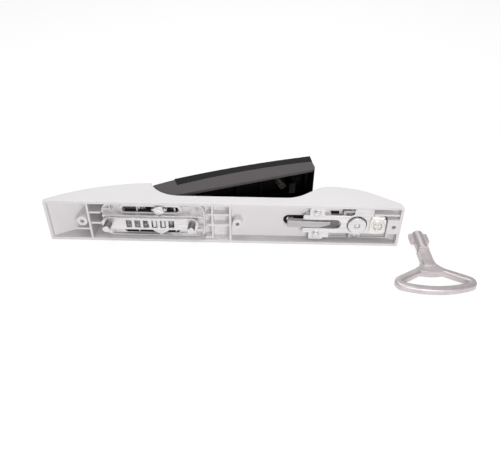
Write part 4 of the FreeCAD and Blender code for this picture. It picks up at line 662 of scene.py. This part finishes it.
def add_trims(finishes):
    """Pad, ribs and screw collars, and painted shade: a dark ring and a dark plate in the latch
    slot, and three dark inlays.

    The ring, the plate and the inlays are painted shade: dark pieces where the lock lies in deep
    shade.
    """
    pad = ring_between(round_slot(*SLOT_PAD), round_slot(*SLOT_HOLE),
                       FRAME_BACK - PAD_RISE, FRAME_BACK)
    add_trim("slot_pad", pad, finishes["die_cast"])
    for number, ((left, low), (right, high)) in enumerate(END_RIBS):
        rib = box_between(left - RIB_HALF, right + RIB_HALF, FRAME_BACK - RIB_RISE, FRAME_BACK,
                          low - RIB_HALF, high + RIB_HALF)
        add_trim(f"end_rib_{number}", rib, finishes["die_cast"])
    # Painted shade in the latch slot: a dark ring and a dark plate
    shade_ring = ring_between(round_slot(*LATCH_SLOT), round_slot(*BOLT_ROOM),
                         FLOOR_BACK + SHADE_RING_GAP, FLOOR_BACK + SHADE_RING_DEPTH)
    add_trim("latch_slot_shade_ring", shade_ring, finishes["painted_shade_black"])
    add_trim("latch_slot_shade_plate", box_between(*SLOT_SHADE_PLATE), finishes["painted_shade_black"],
             body="bolt")
    # A painted shadow wedge on the bolt's bar, and painted shade on its tail
    shadow_wedge = prism(BAR_SHADOW_WEDGE, BAR_BACK - INLAY, BAR_BACK + INLAY)
    add_trim("bolt_shadow_wedge", shadow_wedge, finishes["shaded_zinc"], INLAY_EDGE, "bolt")
    left, right, low, high = TAIL_SHADE
    tail = box_between(left, right, TAIL_BACK - INLAY, TAIL_BACK + INLAY, low, high)
    add_trim("bolt_tail_shade", tail, finishes["shaded_zinc"], INLAY_EDGE, "bolt")
    for number, (across, height) in enumerate(TAB_SCREWS):
        rims = [round_slot(across - radius, across + radius, height, radius)
                for radius in (COLLAR_RADIUS, COLLAR_HOLE)]
        collar = ring_between(*rims, PLATE_BACK - COLLAR_RISE, PLATE_BACK)
        add_trim(f"tab_screw_collar_{number}", collar, finishes["screw_steel"],
                 COLLAR_EDGE)
    # A dark patch on the floor, painted shade
    left, right, low, high = FLOOR_SHADE_PATCH
    shade_patch = box_between(left, right, FLOOR_BACK - SHADE_PATCH_DEPTH, FLOOR_BACK, low, high)
    add_trim("floor_shade_patch", shade_patch, finishes["painted_shade_black"], SHADE_PATCH_EDGE)


# Floor: its size and gap in metres, and how it glows and how matt it is

FLOOR_HALF = 6.0
FLOOR_GAP = 0.00002
FLOOR_GLOW = 0.86
FLOOR_MATT = 0.62
FLOOR_MATT_SEEN = 0.2


def make_floor():
    """A pale floor that looks white and keeps the soft shadow of the lock."""
    recipe = Recipe("studio_floor")
    path = recipe.add("ShaderNodeLightPath")
    seen = recipe.add("ShaderNodeMath", {
        0: path.outputs["Is Camera Ray"], 1: path.outputs["Is Glossy Ray"]},
        operation="MAXIMUM").outputs[0]
    seen = recipe.add("ShaderNodeMath", {
        0: seen, 1: path.outputs["Is Transmission Ray"]}, operation="MAXIMUM").outputs[0]
    glow = recipe.add("ShaderNodeEmission", {
        "Color": (1.0, 1.0, 1.0, 1.0), "Strength": recipe.grey(seen, 0.0, FLOOR_GLOW)})
    tone = recipe.grey(seen, FLOOR_MATT, FLOOR_MATT_SEEN)
    matt = recipe.add("ShaderNodeBsdfDiffuse", {
        "Color": recipe.add("ShaderNodeCombineColor", {
            0: tone, 1: tone, 2: tone}).outputs["Color"]})
    both = recipe.add("ShaderNodeAddShader", {0: glow.outputs[0], 1: matt.outputs[0]})
    recipe.add("ShaderNodeOutputMaterial", {"Surface": both.outputs[0]})
    mesh = bpy.data.meshes.new("studio_floor")
    plane = bmesh.new()
    bmesh.ops.create_grid(plane, x_segments=1, y_segments=1, size=FLOOR_HALF)
    plane.to_mesh(mesh)
    plane.free()
    mesh.materials.append(recipe.material)
    floor = bpy.data.objects.new("studio_floor", mesh)
    floor.location.z = CAD_BOX[0][2] - FLOOR_GAP
    bpy.context.scene.collection.objects.link(floor)


# Soft boxes: place and target in metres, width and height, watts and colour

WHITE = (1.0, 1.0, 1.0)
FAINT_ROSE = (1.0, 0.965, 0.975)
SOFT_BOXES = {
    "overhead_box": ((-0.1, 0.05, 0.9), (0.0, 0.0, 0.0), (0.7, 0.5), 5.0, WHITE),
    "camera_box": ((0.25, -1.0, 0.42), (0.0, 0.0, 0.0), (0.6, 0.4), 6.7, FAINT_ROSE),
    "rear_box": ((0.1, 0.97, 0.7), (0.1, 0.0, 0.0), (0.8, 0.4), 1.5, WHITE),
}
SURROUNDINGS = 0.22


def soft_box(name, place, target, size, power, colour):
    """An oblong lamp that shines from its place to its target."""
    lamp = bpy.data.lights.new(name, "AREA")
    lamp.shape = "RECTANGLE"
    lamp.size, lamp.size_y = size
    lamp.energy = power
    lamp.color = colour
    box = bpy.data.objects.new(name, lamp)
    box.location = place
    way = Vector(target) - Vector(place)
    box.rotation_euler = way.to_track_quat("-Z", "Y").to_euler()
    bpy.context.scene.collection.objects.link(box)


def make_light():
    """White surroundings and three soft boxes: overhead, beside the camera and behind."""
    world = bpy.data.worlds.new("studio_world")
    bpy.context.scene.world = world
    world.use_nodes = True
    tree = world.node_tree
    tree.nodes.clear()
    path = tree.nodes.new("ShaderNodeLightPath")
    level = tree.nodes.new("ShaderNodeMapRange")
    tree.links.new(path.outputs["Is Camera Ray"], level.inputs["Value"])
    level.inputs["To Min"].default_value = SURROUNDINGS
    level.inputs["To Max"].default_value = 1.0
    sky = tree.nodes.new("ShaderNodeBackground")
    sky.inputs["Color"].default_value = (1.0, 1.0, 1.0, 1.0)
    tree.links.new(level.outputs["Result"], sky.inputs["Strength"])
    output = tree.nodes.new("ShaderNodeOutputWorld")
    tree.links.new(sky.outputs["Background"], output.inputs["Surface"])
    for name, settings in SOFT_BOXES.items():
        soft_box(name, *settings)


make_camera()
FINISHES = make_finishes()
dress_nodes(FINISHES)
add_trims(FINISHES)
make_floor()
make_light()
bpy.context.scene.view_settings.view_transform = "Standard"
